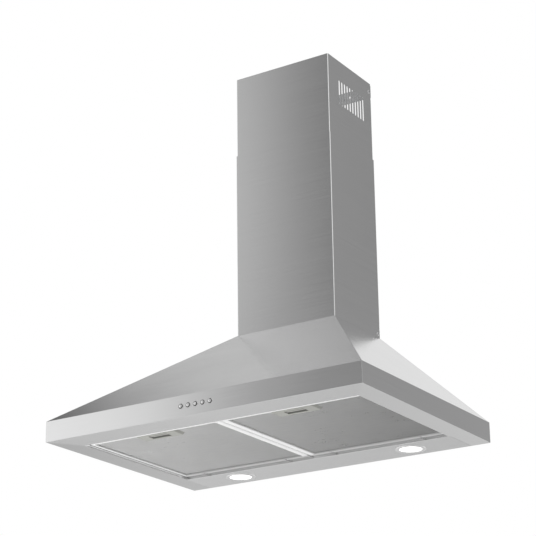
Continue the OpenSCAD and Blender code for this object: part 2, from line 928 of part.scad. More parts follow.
module terminal_block() {
    back = -inner_t - box_t;
    x0 = box_x - terminal_w - box_t;
    color("whitesmoke") difference() {
        block(x0, x0 + terminal_w, back - terminal_d, back, terminal_z,
            terminal_z + terminal_h);
        for (i = [0 : terminal_ways - 1])
            y_rod(screw_r, back - terminal_d - over, back - terminal_d / 2,
                x0 + terminal_w * (i + 0.5) / terminal_ways, terminal_z + terminal_h / 2);
    }
}

module capacitor() {
    color("gainsboro") {
        z_rod(capacitor_r, box_z + box_t, box_z + box_t + capacitor_l,
            box_x + box_w / 4, -inner_t - box_t - capacitor_r);
    }
}

module cable_gland() {
    top = box_z + box_h;
    color("black") translate([box_x, -inner_t - box_d / 2, 0]) difference() {
        union() {
            z_rod(gland_thread_r, top - box_t, top, 0, 0);
            translate([0, 0, top]) cylinder(r = gland_nut_r, h = gland_nut_t, $fn = 6);
            z_rod(gland_r, top + gland_nut_t, top + gland_l, 0, 0);
        }
        z_rod(gland_bore_r, top - box_t - over, top + gland_l + over, 0, 0);
    }
}

module lamp_driver() {
    color("ivory") difference() {
        union() {
            block(driver_x - driver_w / 2, driver_x + driver_w / 2, -inner_t - driver_d, -inner_t,
                driver_z, driver_z + driver_h);
            block(driver_x - driver_w / 2 - driver_ear_w, driver_x + driver_w / 2 + driver_ear_w,
                -inner_t - driver_ear_t, -inner_t, driver_z, driver_z + driver_h);
        }
        for (side = [-1, 1])
            y_rod(screw_r, -inner_t - driver_d, over,
                driver_x + side * (driver_w + driver_ear_w) / 2, driver_z + driver_h / 2);
    }
}

// Chimney covers

// U-shaped cover from y = -d to y = -back, with returns along its rear edges
module cover(w, d, back, z0, z1, return_z0, return_z1) {
    difference() {
        block(-w / 2, w / 2, -d, -back, z0, z1);
        block(-w / 2 + cover_t, w / 2 - cover_t, -d + cover_t, over, z0 - over, z1 + over);
    }
    for (side = [-1, 1]) mirror([side < 0 ? 1 : 0, 0, 0])
        block(w / 2 - return_w, w / 2 - cover_t / 2, -back - cover_t, -back, return_z0, return_z1);
}

module lower_chimney() {
    notch_top = canopy_h + lower_notch_h;
    color("silver") difference() {
        cover(chimney_w, chimney_d, 0, canopy_h, lower_top, notch_top, lower_top);
        block(-chimney_w, chimney_w, -notch_d, over, canopy_h - over, notch_top);
        x_rod(cover_screw_r, -chimney_w, chimney_w, -lower_screw_y, lower_screw_z);
    }
}

module upper_chimney() {
    notch_bottom = upper_top - upper_notch_h;
    color("silver") difference() {
        cover(upper_w, upper_d, upper_inset, upper_bottom, upper_top, upper_bottom, notch_bottom);
        block(-chimney_w, chimney_w, -upper_inset - notch_d, over, notch_bottom, upper_top + over);
        x_rod(cover_screw_r, -chimney_w, chimney_w, -upper_screw_y, upper_screw_z);
        for (i = [0 : vent_count - 1])
            block(-chimney_w, chimney_w, -vent_first_y - i * vent_pitch - vent_w / 2,
                -vent_first_y - i * vent_pitch + vent_w / 2, vent_top - vent_h, vent_top);
    }
}

module chimney_bracket() {
    half = upper_w / 2 - cover_t - seat_gap;
    z1 = wall_bracket_z + wall_bracket_h;
    color("lightgray") difference() {
        union() {
            block(-half, half, -wall_bracket_t, 0, wall_bracket_z, z1);
            for (side = [-1, 1]) mirror([side < 0 ? 1 : 0, 0, 0])
                block(half - wall_bracket_t, half, -tab_d, 0, wall_bracket_z, z1);
        }
        x_rod(cover_screw_r, -chimney_w, chimney_w, -upper_screw_y, upper_screw_z);
        for (side = [-1, 1])
            y_rod(wall_hole_r, -wall_bracket_t - over, over, side * wall_hole_spread / 2,
                wall_bracket_z + wall_bracket_h / 2);
    }
}

module cover_screws(half_w, y, z) {
    for (side = [-1, 1]) mirror([side < 0 ? 1 : 0, 0, 0]) {
        x_rod(cover_screw_r, half_w - screw_l, half_w, y, z);
        x_rod(screw_head_r, half_w, half_w + screw_head_t, y, z);
    }
}

module lower_chimney_screws() {
    color("silver") cover_screws(chimney_w / 2, -lower_screw_y, lower_screw_z);
}

module upper_chimney_screws() {
    color("silver") cover_screws(upper_w / 2, -upper_screw_y, upper_screw_z);
}

// Filters: everything below is drawn for the right side and mirrored for the left

module on_side(side) {
    mirror([side < 0 ? 1 : 0, 0, 0]) children();
}

module filter_frame() {
    difference() {
        union() {
            difference() {
                block(filter_inner_x, filter_outer_x, -filter_front_y, -rear_bar_y, filter_z,
                    filter_top);
                block(filter_inner_x + wall_t, filter_outer_x - wall_t, -filter_front_y + wall_t,
                    -rear_bar_y + over, filter_z + wall_t, filter_top + over);
                block(filter_inner_x + frame_w, filter_outer_x - frame_outer_w,
                    -filter_front_y + frame_front_w, -rear_bar_y, filter_z - over, filter_top);
            }
            block(filter_inner_x, filter_outer_x, -rear_bar_y, -hinge_y, filter_z, filter_top);
            x_rod(hinge_r, filter_inner_x, filter_outer_x, -hinge_y, hinge_z);
        }
        for (end = [-1, 1]) translate([filter_mid_x + end * hook_spread, 0, 0])
            block(-notch_w / 2, notch_w / 2, -rear_bar_y, -hinge_y + filter_t, filter_z - over,
                filter_top + over);
    }
    for (end = [-1, 1])
        x_rod(hook_pin_r, filter_mid_x + end * hook_spread - notch_w,
            filter_mid_x + end * hook_spread + notch_w, -hinge_y, hinge_z);
}

module filter_mesh() {
    half = handle_w / 2 - handle_margin;
    difference() {
        for (i = [0 : mesh_layers - 1]) translate([0, 0, i * mesh_layer_pitch])
            block(filter_inner_x + wall_t, filter_outer_x - wall_t, -filter_front_y + wall_t,
                -rear_bar_y, filter_z + wall_t, filter_z + wall_t + mesh_layer_t);
        block(filter_mid_x - half, filter_mid_x + half, -handle_front + handle_margin,
            -handle_front + handle_d - handle_margin, filter_z, filter_top);
    }
}

module filter_handle() {
    half = handle_w / 2;
    inner = half - handle_margin;
    flange_top = filter_z + wall_t;
    color("darkkhaki") translate([filter_mid_x, 0, 0]) difference() {
        union() {
            block(-half, half, -handle_front, -handle_front + handle_d, handle_z, flange_top);
            block(-inner, inner, -handle_front + handle_margin,
                -handle_front + handle_d - handle_margin, flange_top, handle_top);
        }
        block(-pocket_w / 2, pocket_w / 2, -pocket_front, -pocket_front + pocket_d,
            handle_z - over, pocket_top);
        block(-neck_w / 2 - slide_gap, neck_w / 2 + slide_gap, -latch_bar_front - slide_gap,
            -tongue_rear + latch_travel + slide_gap, pocket_top - over, tongue_z);
        block(-tongue_w / 2 - slide_gap, tongue_w / 2 + slide_gap, -handle_front - over,
            -tongue_rear + latch_travel + slide_gap, tongue_z - slide_gap,
            tongue_z + tongue_t + slide_gap);
        y_rod(spring_bore_r, -tongue_rear - spring_wall, -spring_rear, 0, spring_z);
    }
}

module latch_slider() {
    color("tan") translate([filter_mid_x, 0, 0]) {
        block(-latch_bar_w / 2, latch_bar_w / 2, -latch_bar_front,
            -latch_bar_front + latch_bar_t, handle_z + latch_bar_sunk, pocket_top - slide_gap);
        block(-neck_w / 2, neck_w / 2, -latch_bar_front, -latch_bar_front + latch_bar_t,
            pocket_top - 2 * slide_gap, tongue_z + tongue_t / 2);
        block(-tongue_w / 2, tongue_w / 2, -tongue_tip, -tongue_rear, tongue_z,
            tongue_z + tongue_t);
    }
}

// Points of one ring of the spring wire, a of the way along it
function spring_ring(a) = [
    for (k = [0 : spring_sides - 1])
        let (turn = 360 * spring_turns * a, round_a = 360 * k / spring_sides,
            r = spring_coil_r + spring_wire_r * cos(round_a))
        [r * cos(turn), a * (spring_l - 2 * spring_wire_r) + spring_wire_r * (1 + sin(round_a)),
            r * sin(turn)]
];

module coil_spring() {
    rings = spring_turns * spring_steps;
    points = [for (i = [0 : rings]) each spring_ring(i / rings)];
    sides = [for (i = [0 : rings - 1]) for (k = [0 : spring_sides - 1])
        let (a = i * spring_sides + k, b = i * spring_sides + (k + 1) % spring_sides)
        [a, b, b + spring_sides, a + spring_sides]];
    first = [for (k = [spring_sides - 1 : -1 : 0]) k];
    last = [for (k = [0 : spring_sides - 1]) rings * spring_sides + k];
    polyhedron(points, concat(sides, [first, last]));
}

module latch_spring() {
    color("silver") translate([filter_mid_x, -tongue_rear, spring_z]) coil_spring();
}

canopy_shell();
rear_panel();
tray_frame();
centre_rail();
latch_catches();
hinge_hooks();
lamp_panel();
lamp_bezel(-1);  // lamp_bezel_left
lamp_bezel(1);  // lamp_bezel_right
lamp_lens(-1);  // lamp_lens_left
lamp_lens(1);  // lamp_lens_right
lamp_body(-1);  // lamp_body_left
lamp_body(1);  // lamp_body_right
button_rings();
switch_block();
switch_screws();
blower_plate();
scroll_left();
scroll_right();
scroll_screws();
motor();
motor_bracket();
inlet_guard_left();
inlet_guard_right();
motor_shaft();
impeller();
impeller_nut();
duct_spigot();
flap_pin();
flap_front();
flap_rear();
blower_screws();
junction_box();
junction_lid();
terminal_block();
capacitor();
cable_gland();
lamp_driver();
lower_chimney();
lower_chimney_screws();
upper_chimney();
chimney_bracket();
upper_chimney_screws();
color("whitesmoke") on_side(-1) filter_frame();  // filter_frame_left
color("darkgray") on_side(-1) filter_mesh();  // filter_mesh_left
on_side(-1) filter_handle();  // filter_handle_left
on_side(-1) latch_slider();  // latch_slider_left
on_side(-1) latch_spring();  // latch_spring_left
color("whitesmoke") on_side(1) filter_frame();  // filter_frame_right
color("darkgray") on_side(1) filter_mesh();  // filter_mesh_right
on_side(1) filter_handle();  // filter_handle_right
on_side(1) latch_slider();  // latch_slider_right
on_side(1) latch_spring();  // latch_spring_right
push_button(0);  // button_light
push_button(1);  // button_off
push_button(2);  // button_low
push_button(3);  // button_medium
push_button(4);  // button_high
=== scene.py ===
import json
import math
import bpy
import bmesh
from mathutils import Matrix, Vector


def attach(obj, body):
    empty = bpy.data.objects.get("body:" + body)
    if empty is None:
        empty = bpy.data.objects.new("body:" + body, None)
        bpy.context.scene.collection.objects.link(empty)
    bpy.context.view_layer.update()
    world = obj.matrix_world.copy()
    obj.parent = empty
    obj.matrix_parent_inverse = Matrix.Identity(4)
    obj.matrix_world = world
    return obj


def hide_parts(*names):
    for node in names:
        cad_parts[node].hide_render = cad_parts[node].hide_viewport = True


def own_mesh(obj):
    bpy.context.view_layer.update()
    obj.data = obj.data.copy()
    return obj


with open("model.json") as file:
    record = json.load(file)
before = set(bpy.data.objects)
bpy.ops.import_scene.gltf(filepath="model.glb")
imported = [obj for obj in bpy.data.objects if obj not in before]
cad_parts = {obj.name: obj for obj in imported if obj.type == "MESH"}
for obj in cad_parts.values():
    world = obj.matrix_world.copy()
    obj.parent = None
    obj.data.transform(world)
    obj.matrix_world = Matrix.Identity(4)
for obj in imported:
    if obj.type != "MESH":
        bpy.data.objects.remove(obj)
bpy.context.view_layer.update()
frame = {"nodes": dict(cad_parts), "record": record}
nodes = frame["nodes"]
scene = bpy.context.scene
mm = 0.001
weldGap, cadWeld = 1e-6, 1e-5
levelNormal = 0.99
print("frame loaded:", len(nodes), "nodes")

# Millimetres that several pieces share: buttons on the band, lamps in their panel, a latch in its filter
buttonNames, buttonPitch = ("light", "off", "low", "medium", "high"), 16.1
buttonPlaces = {word: ((i - 2) * buttonPitch, -500, 20.2) for i, word in enumerate(buttonNames)}
lampPlaces = {"left": (-200, -46.7, 0), "right": (200, -46.7, 0)}
latchX, latchY = 152.95, 397.5


# Mesh helpers
def linkObject(name, data):
    obj = bpy.data.objects.new(name, data)
    scene.collection.objects.link(obj)
    return obj


def sheetObject(name, points, faces):
    mesh = bpy.data.meshes.new(name)
    mesh.from_pydata([Vector(p) * mm for p in points], [], faces)
    mesh.update()
    return linkObject(name, mesh)


def freezeShape(obj):
    bpy.context.view_layer.update()
    graph = bpy.context.evaluated_depsgraph_get()
    shape = bpy.data.meshes.new_from_object(obj.evaluated_get(graph), preserve_all_data_layers=True,
                                            depsgraph=graph)
    obj.modifiers.clear()
    obj.data = shape
    return obj


def addModifier(obj, kind, **settings):
    modifier = obj.modifiers.new(kind.title().replace("_", ""), kind)
    for key, value in settings.items():
        setattr(modifier, key, value)
    return modifier


def easeEdges(obj, width, steps, corner):
    angle = math.radians(corner)
    addModifier(obj, "BEVEL", width=width * mm, segments=steps, limit_method="ANGLE", angle_limit=angle)


def foldSheet(obj, piece, steps, corner):
    easeEdges(obj, piece["fold"], steps, corner)
    addModifier(obj, "SOLIDIFY", thickness=piece["sheet"] * mm, offset=-1, use_even_offset=True)
    freezeShape(obj)


def paint(obj, *materials):
    for material in materials:
        obj.data.materials.append(material)


def smoothShape(obj, angle=35):
    for face in obj.data.polygons:
        face.use_smooth = True
    obj.data.set_sharp_from_angle(angle=math.radians(angle))
    addModifier(obj, "WEIGHTED_NORMAL", keep_sharp=True, weight=80)


def reshape(obj, change):
    form = bmesh.new()
    form.from_mesh(obj.data)
    change(form)
    form.to_mesh(obj.data)
    form.free()


def turnedObject(name, profile, steps, place, forward):
    along = Vector(forward)
    across = along.orthogonal().normalized()
    side = along.cross(across)
    closed = profile[0] == profile[-1]
    rings = profile[:-1] if closed else profile
    points, faces = [], []
    for radius, height in rings:
        for step in range(steps):
            turn = 2 * math.pi * step / steps
            spoke = across * math.cos(turn) + side * math.sin(turn)
            points.append(Vector(place) + spoke * radius + along * height)
    count = len(rings)
    for i in range(count if closed else count - 1):
        a, b = i * steps, (i + 1) % count * steps
        for step in range(steps):
            following = (step + 1) % steps
            faces.append([a + step, a + following, b + following, b + step])

    def weldAndTurn(form):
        bmesh.ops.remove_doubles(form, verts=form.verts, dist=weldGap)
        bmesh.ops.recalc_face_normals(form, faces=form.faces)

    obj = sheetObject(name, points, faces)
    reshape(obj, weldAndTurn)
    return obj


def joinObjects(name, parts):
    form = bmesh.new()
    for part in parts:
        form.from_mesh(part.data)
        bpy.data.objects.remove(part)
    mesh = bpy.data.meshes.new(name)
    form.to_mesh(mesh)
    form.free()
    return linkObject(name, mesh)


def roundedLoop(halfX, halfY, radius, z, centre):
    loop, steps = [], 5
    for cornerX, cornerY, first in ((1, 1, 0), (-1, 1, 90), (-1, -1, 180), (1, -1, 270)):
        for step in range(steps):
            turn = math.radians(first + 90 * step / (steps - 1))
            loop.append((centre[0] + cornerX * (halfX - radius) + radius * math.cos(turn),
                         centre[1] + cornerY * (halfY - radius) + radius * math.sin(turn), z))
    return loop


def stackedObject(name, loops):
    points = [p for loop in loops for p in loop]
    count = len(loops[0])
    faces = [list(range(count))]
    for i in range(len(loops) - 1):
        a = i * count
        b = a + count
        for k in range(count):
            following = (k + 1) % count
            faces.append([a + k, b + k, b + following, a + following])
    faces.append(list(range(len(points) - 1, len(points) - count - 1, -1)))
    obj = sheetObject(name, points, faces)
    reshape(obj, lambda form: bmesh.ops.recalc_face_normals(form, faces=form.faces))
    return obj


def boxObject(name, low, high):
    points = [(x, y, z) for x in (low[0], high[0]) for y in (low[1], high[1]) for z in (low[2], high[2])]
    faces = [[0, 1, 3, 2], [4, 6, 7, 5], [0, 4, 5, 1], [2, 3, 7, 6], [0, 2, 6, 4], [1, 5, 7, 3]]
    return sheetObject(name, points, faces)


def cutAway(obj, cutters):
    for cutter in cutters:
        addModifier(obj, "BOOLEAN", operation="DIFFERENCE", solver="EXACT", object=cutter)
    freezeShape(obj)
    for cutter in cutters:
        bpy.data.objects.remove(cutter)


def cylinderProfile(radius, reach):
    return [(0, -reach), (radius, -reach), (radius, reach), (0, reach)]


def grainMap(obj, grainOf):
    mesh = obj.data
    layer = mesh.uv_layers.new(name="grain")
    for face in mesh.polygons:
        normal = face.normal
        grain = grainOf(face)
        across = grain.cross(normal).normalized()
        for corner in face.loop_indices:
            point = mesh.vertices[mesh.loops[corner].vertex_index].co
            layer.data[corner].uv = (point.dot(across), point.dot(grain))


def levelGrain(face):
    if abs(face.normal.z) > levelNormal:
        return Vector((1, 0, 0))
    return Vector((0, 0, 1)).cross(face.normal).normalized()


# Material helpers
def newMaterial(name, values):
    material = bpy.data.materials.new(name)
    material.use_nodes = True
    shader = material.node_tree.nodes["Principled BSDF"]
    for key, value in values.items():
        shader.inputs[key].default_value = value
    return material, material.node_tree, shader


def addNode(tree, kind, inputs=None, **settings):
    node = tree.nodes.new(kind)
    for key, value in settings.items():
        setattr(node, key, value)
    for key, value in (inputs or {}).items():
        if isinstance(value, bpy.types.NodeSocket):
            tree.links.new(value, node.inputs[key])
        else:
            node.inputs[key].default_value = value
    return node.outputs


def noiseAt(tree, stretch, detail, rough, offset=(0, 0, 0)):
    coords = addNode(tree, "ShaderNodeTexCoord")["Object"]
    spot = addNode(tree, "ShaderNodeMapping", {"Vector": coords, "Scale": stretch, "Location": offset})[0]
    inputs = {"Vector": spot, "Scale": 1, "Detail": detail, "Roughness": rough}
    return addNode(tree, "ShaderNodeTexNoise", inputs)["Fac"]


def spread(tree, value, low, high, start=0.3, end=0.7):
    inputs = {"From Min": start, "From Max": end, "To Min": low, "To Max": high, "Value": value}
    return addNode(tree, "ShaderNodeMapRange", inputs)[0]


def mixColour(tree, factor, first, second):
    first, second = (end if isinstance(end, bpy.types.NodeSocket) else (*end, 1) for end in (first, second))
    return addNode(tree, "ShaderNodeMix", {0: factor, 6: first, 7: second}, data_type="RGBA")[2]


def calculate(tree, operation, *values):
    return addNode(tree, "ShaderNodeMath", dict(enumerate(values)), operation=operation)[0]


def feed(tree, shader, sources):
    for key, source in sources.items():
        tree.links.new(source, shader.inputs[key])


def bumpFrom(tree, height, distance, strength):
    inputs = {"Height": height, "Distance": distance, "Strength": strength}
    return addNode(tree, "ShaderNodeBump", inputs)[0]


def brushedSteel(name, stretch, dark, light, rough):
    material, tree, shader = newMaterial(name, {"Metallic": 1, "Anisotropic": 0.9})
    fine = noiseAt(tree, stretch, 2, 0.6)
    broad = noiseAt(tree, [s * 0.2 for s in stretch], 3, 0.6, (3.1, 1.7, 5.3))
    smudge = noiseAt(tree, (7, 7, 7), 4, 0.6, (0.4, 2.2, 1.3))
    streaks = calculate(tree, "MULTIPLY_ADD", broad, 0.3, fine)
    colour = mixColour(tree, spread(tree, streaks, 0, 1, 0.45, 0.85), dark, light)
    gloss = calculate(tree, "ADD", spread(tree, fine, -0.02, 0.02),
                      spread(tree, smudge, rough - 0.01, rough + 0.01))
    tangent = addNode(tree, "ShaderNodeTangent", direction_type="UV_MAP", uv_map="grain")[0]
    feed(tree, shader,
         {"Base Color": colour, "Roughness": gloss, "Normal": bumpFrom(tree, fine, 0.00001, 0.25),
          "Tangent": tangent})
    return material


def plainMetal(name, dark, light, rough, stretch=(90, 90, 90), metallic=1.0, spangle=False, dent=0.00004):
    material, tree, shader = newMaterial(name, {"Metallic": metallic})
    fine = noiseAt(tree, stretch, 3, 0.6)
    wear = noiseAt(tree, (14, 14, 14), 4, 0.7, (4.4, 0.2, 2.3))
    factor, start, end = fine, 0.3, 0.7
    if spangle:
        coords = addNode(tree, "ShaderNodeTexCoord")["Object"]
        inputs = {"Vector": coords, "Scale": 110, "Randomness": 1}
        cells = addNode(tree, "ShaderNodeTexVoronoi", inputs)["Color"]
        shade = addNode(tree, "ShaderNodeSeparateColor", {0: cells})[0]
        factor, start, end = calculate(tree, "MULTIPLY_ADD", shade, 0.6, fine), 0.35, 1.2
    colour = mixColour(tree, spread(tree, factor, 0, 1, start, end), dark, light)
    gloss = calculate(tree, "ADD", spread(tree, factor, -0.02, 0.03),
                      spread(tree, wear, rough - 0.03, rough + 0.05))
    feed(tree, shader, {"Base Color": colour, "Roughness": gloss, "Normal": bumpFrom(tree, fine, dent, 0.4)})
    return material


def mouldedPlastic(name, dark, light, rough):
    material, tree, shader = newMaterial(name, {"Specular IOR Level": 0.45})
    texture = noiseAt(tree, (1400, 1400, 1400), 2, 0.5)
    cloud = noiseAt(tree, (30, 30, 30), 3, 0.6, (1.2, 0.4, 3.3))
    colour = mixColour(tree, spread(tree, cloud, 0, 1), dark, light)
    gloss = calculate(tree, "ADD", spread(tree, texture, -0.04, 0.04),
                      spread(tree, cloud, rough, rough + 0.08))
    feed(tree, shader,
         {"Base Color": colour, "Roughness": gloss, "Normal": bumpFrom(tree, texture, 0.00003, 0.35)})
    return material


def litOpal(name, colour, strength):
    material, tree, shader = newMaterial(name, {"Emission Strength": strength})
    frost = noiseAt(tree, (900, 900, 900), 2, 0.5)
    glow = mixColour(tree, spread(tree, frost, 0, 1), colour, (1, 1, 1))
    surface = mixColour(tree, spread(tree, frost, 0, 1), (0.9, 0.9, 0.88), (1, 1, 0.98))
    feed(tree, shader,
         {"Base Color": surface, "Roughness": spread(tree, frost, 0.35, 0.5), "Emission Color": glow,
          "Normal": bumpFrom(tree, frost, 0.00003, 0.3)})
    return material


steelSide = brushedSteel("steelSide", (6, 6, 1500), (0.712, 0.712, 0.714), (0.748, 0.748, 0.748), 0.13)
steelUnderX = brushedSteel("steelUnderX", (6, 1500, 6), (0.708, 0.708, 0.71), (0.75, 0.75, 0.75), 0.2)
steelUnderY = brushedSteel("steelUnderY", (1500, 6, 6), (0.708, 0.708, 0.71), (0.75, 0.75, 0.75), 0.2)
galvanised = plainMetal("galvanised", (0.5, 0.51, 0.52), (0.66, 0.67, 0.68), 0.42, spangle=True)
filterAlloy = plainMetal("filterAlloy", (0.93, 0.93, 0.93), (0.97, 0.97, 0.965), 0.48, (8, 600, 600), 0.4)
# A darker copy of the filter alloy: painted shade on the frame's rear edge, hinge bar, pins and hooks
hingePaintedShadeAlloy = plainMetal("hingePaintedShadeAlloy", (0.58, 0.58, 0.58), (0.63, 0.63, 0.625), 0.48, (8, 600, 600), 0.4)
strandAlloy = plainMetal("strandAlloy", (0.58, 0.58, 0.58), (0.62, 0.62, 0.615), 0.3, (40, 300, 300),
                         dent=0.000004)
woolAlloy = plainMetal("woolAlloy", (0.58, 0.58, 0.58), (0.64, 0.64, 0.63), 0.5, (60, 300, 300),
                       dent=0.00001)
screwSteel = plainMetal("screwSteel", (0.55, 0.55, 0.56), (0.72, 0.72, 0.72), 0.3, (300, 300, 300))
castMetal = plainMetal("castMetal", (0.46, 0.46, 0.47), (0.56, 0.56, 0.57), 0.48, (260, 260, 260))
wheelSteel = plainMetal("wheelSteel", (0.5, 0.51, 0.52), (0.63, 0.64, 0.65), 0.4, spangle=True)
motorPaint = plainMetal("motorPaint", (0.05, 0.052, 0.055), (0.08, 0.082, 0.085), 0.5, (500, 500, 500), 0.0)
capacitorTin = plainMetal("capacitorTin", (0.6, 0.61, 0.62), (0.72, 0.73, 0.74), 0.33, (200, 200, 20))
ringChrome = plainMetal("ringChrome", (0.82, 0.82, 0.82), (0.9, 0.9, 0.9), 0.16, (120, 120, 120))
buttonAlloy = plainMetal("buttonAlloy", (0.94, 0.94, 0.94), (0.99, 0.99, 0.99), 0.16, (120, 120, 120))
# A dark metal for the cap's outer edge: painted shade standing in for the gap around the cap
capPaintedShade = plainMetal("capPaintedShade", (0.2, 0.2, 0.2), (0.28, 0.28, 0.28), 0.34, (160, 160, 160))
bezelWhite = plainMetal("bezelWhite", (0.86, 0.86, 0.86), (0.94, 0.94, 0.94), 0.26, (40, 900, 40))
latchPlastic = mouldedPlastic("latchPlastic", (0.31, 0.312, 0.29), (0.36, 0.36, 0.335), 0.42)
# A darker copy of the latch plastic: painted shade for the inside of the latch pocket
latchPocketPaintedShade = mouldedPlastic("latchPocketPaintedShade", (0.165, 0.165, 0.153), (0.21, 0.21, 0.195), 0.5)
darkPlastic = mouldedPlastic("darkPlastic", (0.018, 0.018, 0.02), (0.035, 0.035, 0.038), 0.45)
palePlastic = mouldedPlastic("palePlastic", (0.55, 0.55, 0.52), (0.66, 0.66, 0.63), 0.42)
lampOpal = litOpal("lampOpal", (1, 0.99, 0.97), 1.4)
print("materials made")


# The canopy's folded sheet: one skin with bent edges and mitred rims
def makeCanopy():
    canopy = {"half": 350, "depth": 500, "band": 41, "top": 256, "neckHalf": 115, "neckDepth": 183,
              "flange": 10, "openHalf": 305, "openFront": 436, "panelHalf": 309, "panelDepth": 90, "lip": 5,
              "sheet": 1, "fold": 0.4, "buttonHole": 5.4, "through": 3, "rimTop": 1,
              "facingDown": 0.9}

    def collar(half, front, z, rearHalf=None):
        rear = rearHalf or half
        seam = -canopy["panelDepth"]
        return [(-rear, 0, z), (-rear, seam, z), (-half, -front, z), (half, -front, z), (rear, seam, z),
                (rear, 0, z)]

    openHalf, openFront, seam = canopy["openHalf"], canopy["openFront"], -canopy["panelDepth"]
    points = collar(canopy["neckHalf"] - canopy["flange"], canopy["neckDepth"] - canopy["flange"],
                    canopy["top"])
    points += collar(canopy["neckHalf"], canopy["neckDepth"], canopy["top"])
    points += collar(canopy["half"], canopy["depth"], canopy["band"])
    points += collar(canopy["half"], canopy["depth"], 0)
    points += collar(openHalf, openFront, 0, canopy["panelHalf"])
    points += [(-openHalf, seam, 0), (openHalf, seam, 0)]
    lip = ((-openHalf, seam), (-openHalf, -openFront), (openHalf, -openFront), (openHalf, seam))
    points += [(x, y, canopy["lip"]) for x, y in lip]
    faces = []
    for ring in (0, 6, 12):
        for column in range(5):
            a, b = ring + column, ring + 6 + column
            faces.append([a, b, b + 1, a + 1])
    faces += [[18, 24, 25, 19], [19, 25, 30, 26, 20], [20, 26, 27, 21], [21, 27, 31, 28, 22],
              [22, 28, 29, 23]]
    faces += [[30, 32, 33, 26], [26, 33, 34, 27], [27, 34, 35, 31]]
    obj = sheetObject("canopy_skin", points, faces)
    foldSheet(obj, canopy, 3, 20)
    hole = cylinderProfile(canopy["buttonHole"], canopy["through"])
    holes = [turnedObject("buttonHole", hole, 32, place, (0, -1, 0)) for place in buttonPlaces.values()]
    cutAway(obj, holes)
    rimTop = canopy["rimTop"] * mm

    def grainOf(face):
        if face.normal.z < -levelNormal and face.center.z < rimTop and abs(face.center.x) > openHalf * mm:
            return Vector((0, 1, 0))
        return levelGrain(face)

    grainMap(obj, grainOf)
    paint(obj, steelSide, steelUnderX, steelUnderY)
    for face in obj.data.polygons:
        if face.normal.z < -canopy["facingDown"] and face.center.z < rimTop:
            face.material_index = 2 if abs(face.center.x) > openHalf * mm else 1
    smoothShape(obj)
    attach(obj, "hood")
    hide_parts("canopy_shell")


makeCanopy()


# The lamp panel: a flat sheet turned up along its front edge, with two lamp holes
def makeLampPanel():
    panel = {"half": 308.6, "wallHalf": 305, "depth": 90, "wall": 12, "sheet": 1, "fold": 0.9,
             "lampHole": 27.9, "through": 3}
    half, wallHalf, seam = panel["half"], panel["wallHalf"], -panel["depth"]
    points = [(-half, 0, 0), (-half, seam, 0), (-wallHalf, seam, 0), (wallHalf, seam, 0), (half, seam, 0),
              (half, 0, 0)]
    points += [(-wallHalf, seam, panel["wall"]), (wallHalf, seam, panel["wall"])]
    obj = sheetObject("lamp_panel_skin", points, [[0, 5, 4, 3, 2, 1], [2, 3, 7, 6]])
    foldSheet(obj, panel, 3, 30)
    hole = cylinderProfile(panel["lampHole"], panel["through"])
    cutAway(obj, [turnedObject("lampHole", hole, 72, place, (0, 0, 1)) for place in lampPlaces.values()])
    grainMap(obj, levelGrain)
    paint(obj, steelUnderX)
    smoothShape(obj)
    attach(obj, "hood")
    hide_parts("lamp_panel")


makeLampPanel()
print("canopy and lamp panel skins made")


# Geometry Nodes: a tree with its sockets, the values for them, and its end
def newTree(name, kinds):
    tree = bpy.data.node_groups.new(name, "GeometryNodeTree")
    face = tree.interface
    face.new_socket(name="Geometry", in_out="INPUT", socket_type="NodeSocketGeometry")
    sockets = {}
    for label, kind in kinds.items():
        sockets[label] = face.new_socket(name=label, in_out="INPUT",
                                         socket_type="NodeSocket" + kind).identifier
    face.new_socket(name="Geometry", in_out="OUTPUT", socket_type="NodeSocketGeometry")
    return tree, sockets, addNode(tree, "NodeGroupInput")


def endTree(tree, shape, material):
    painted = addNode(tree, "GeometryNodeSetMaterial", {"Geometry": shape, "Material": material})
    addNode(tree, "NodeGroupOutput", {0: painted[0]})


def runTree(name, tree, sockets, values):
    obj = linkObject(name, bpy.data.meshes.new(name))
    modifier = obj.modifiers.new("Tree", "NODES")
    modifier.node_group = tree
    for key, value in values.items():
        modifier[sockets[key]] = value
    return freezeShape(obj)


# A row of one shape, which the vents are cut with
def rowTree():
    kinds = {"Shape": "Object", "Start": "Vector", "Step": "Vector", "Count": "Int", "Material": "Material"}
    tree, sockets, source = newTree("slotRow", kinds)
    inputs = {"Count": source["Count"], "Start Location": source["Start"], "Offset": source["Step"]}
    line = addNode(tree, "GeometryNodeMeshLine", inputs, mode="OFFSET")
    shape = addNode(tree, "GeometryNodeObjectInfo", {"Object": source["Shape"]})["Geometry"]
    placed = addNode(tree, "GeometryNodeInstanceOnPoints", {"Points": line[0], "Instance": shape})
    solid = addNode(tree, "GeometryNodeRealizeInstances", {0: placed[0]})
    endTree(tree, solid[0], source["Material"])
    return tree, sockets


slotRow, slotRowSockets = rowTree()


def repeatInRow(name, shape, start, step, count, material):
    values = {"Shape": shape, "Start": [c * mm for c in start], "Step": [c * mm for c in step],
              "Count": count, "Material": material}
    obj = runTree(name, slotRow, slotRowSockets, values)
    bpy.data.objects.remove(shape)
    return obj


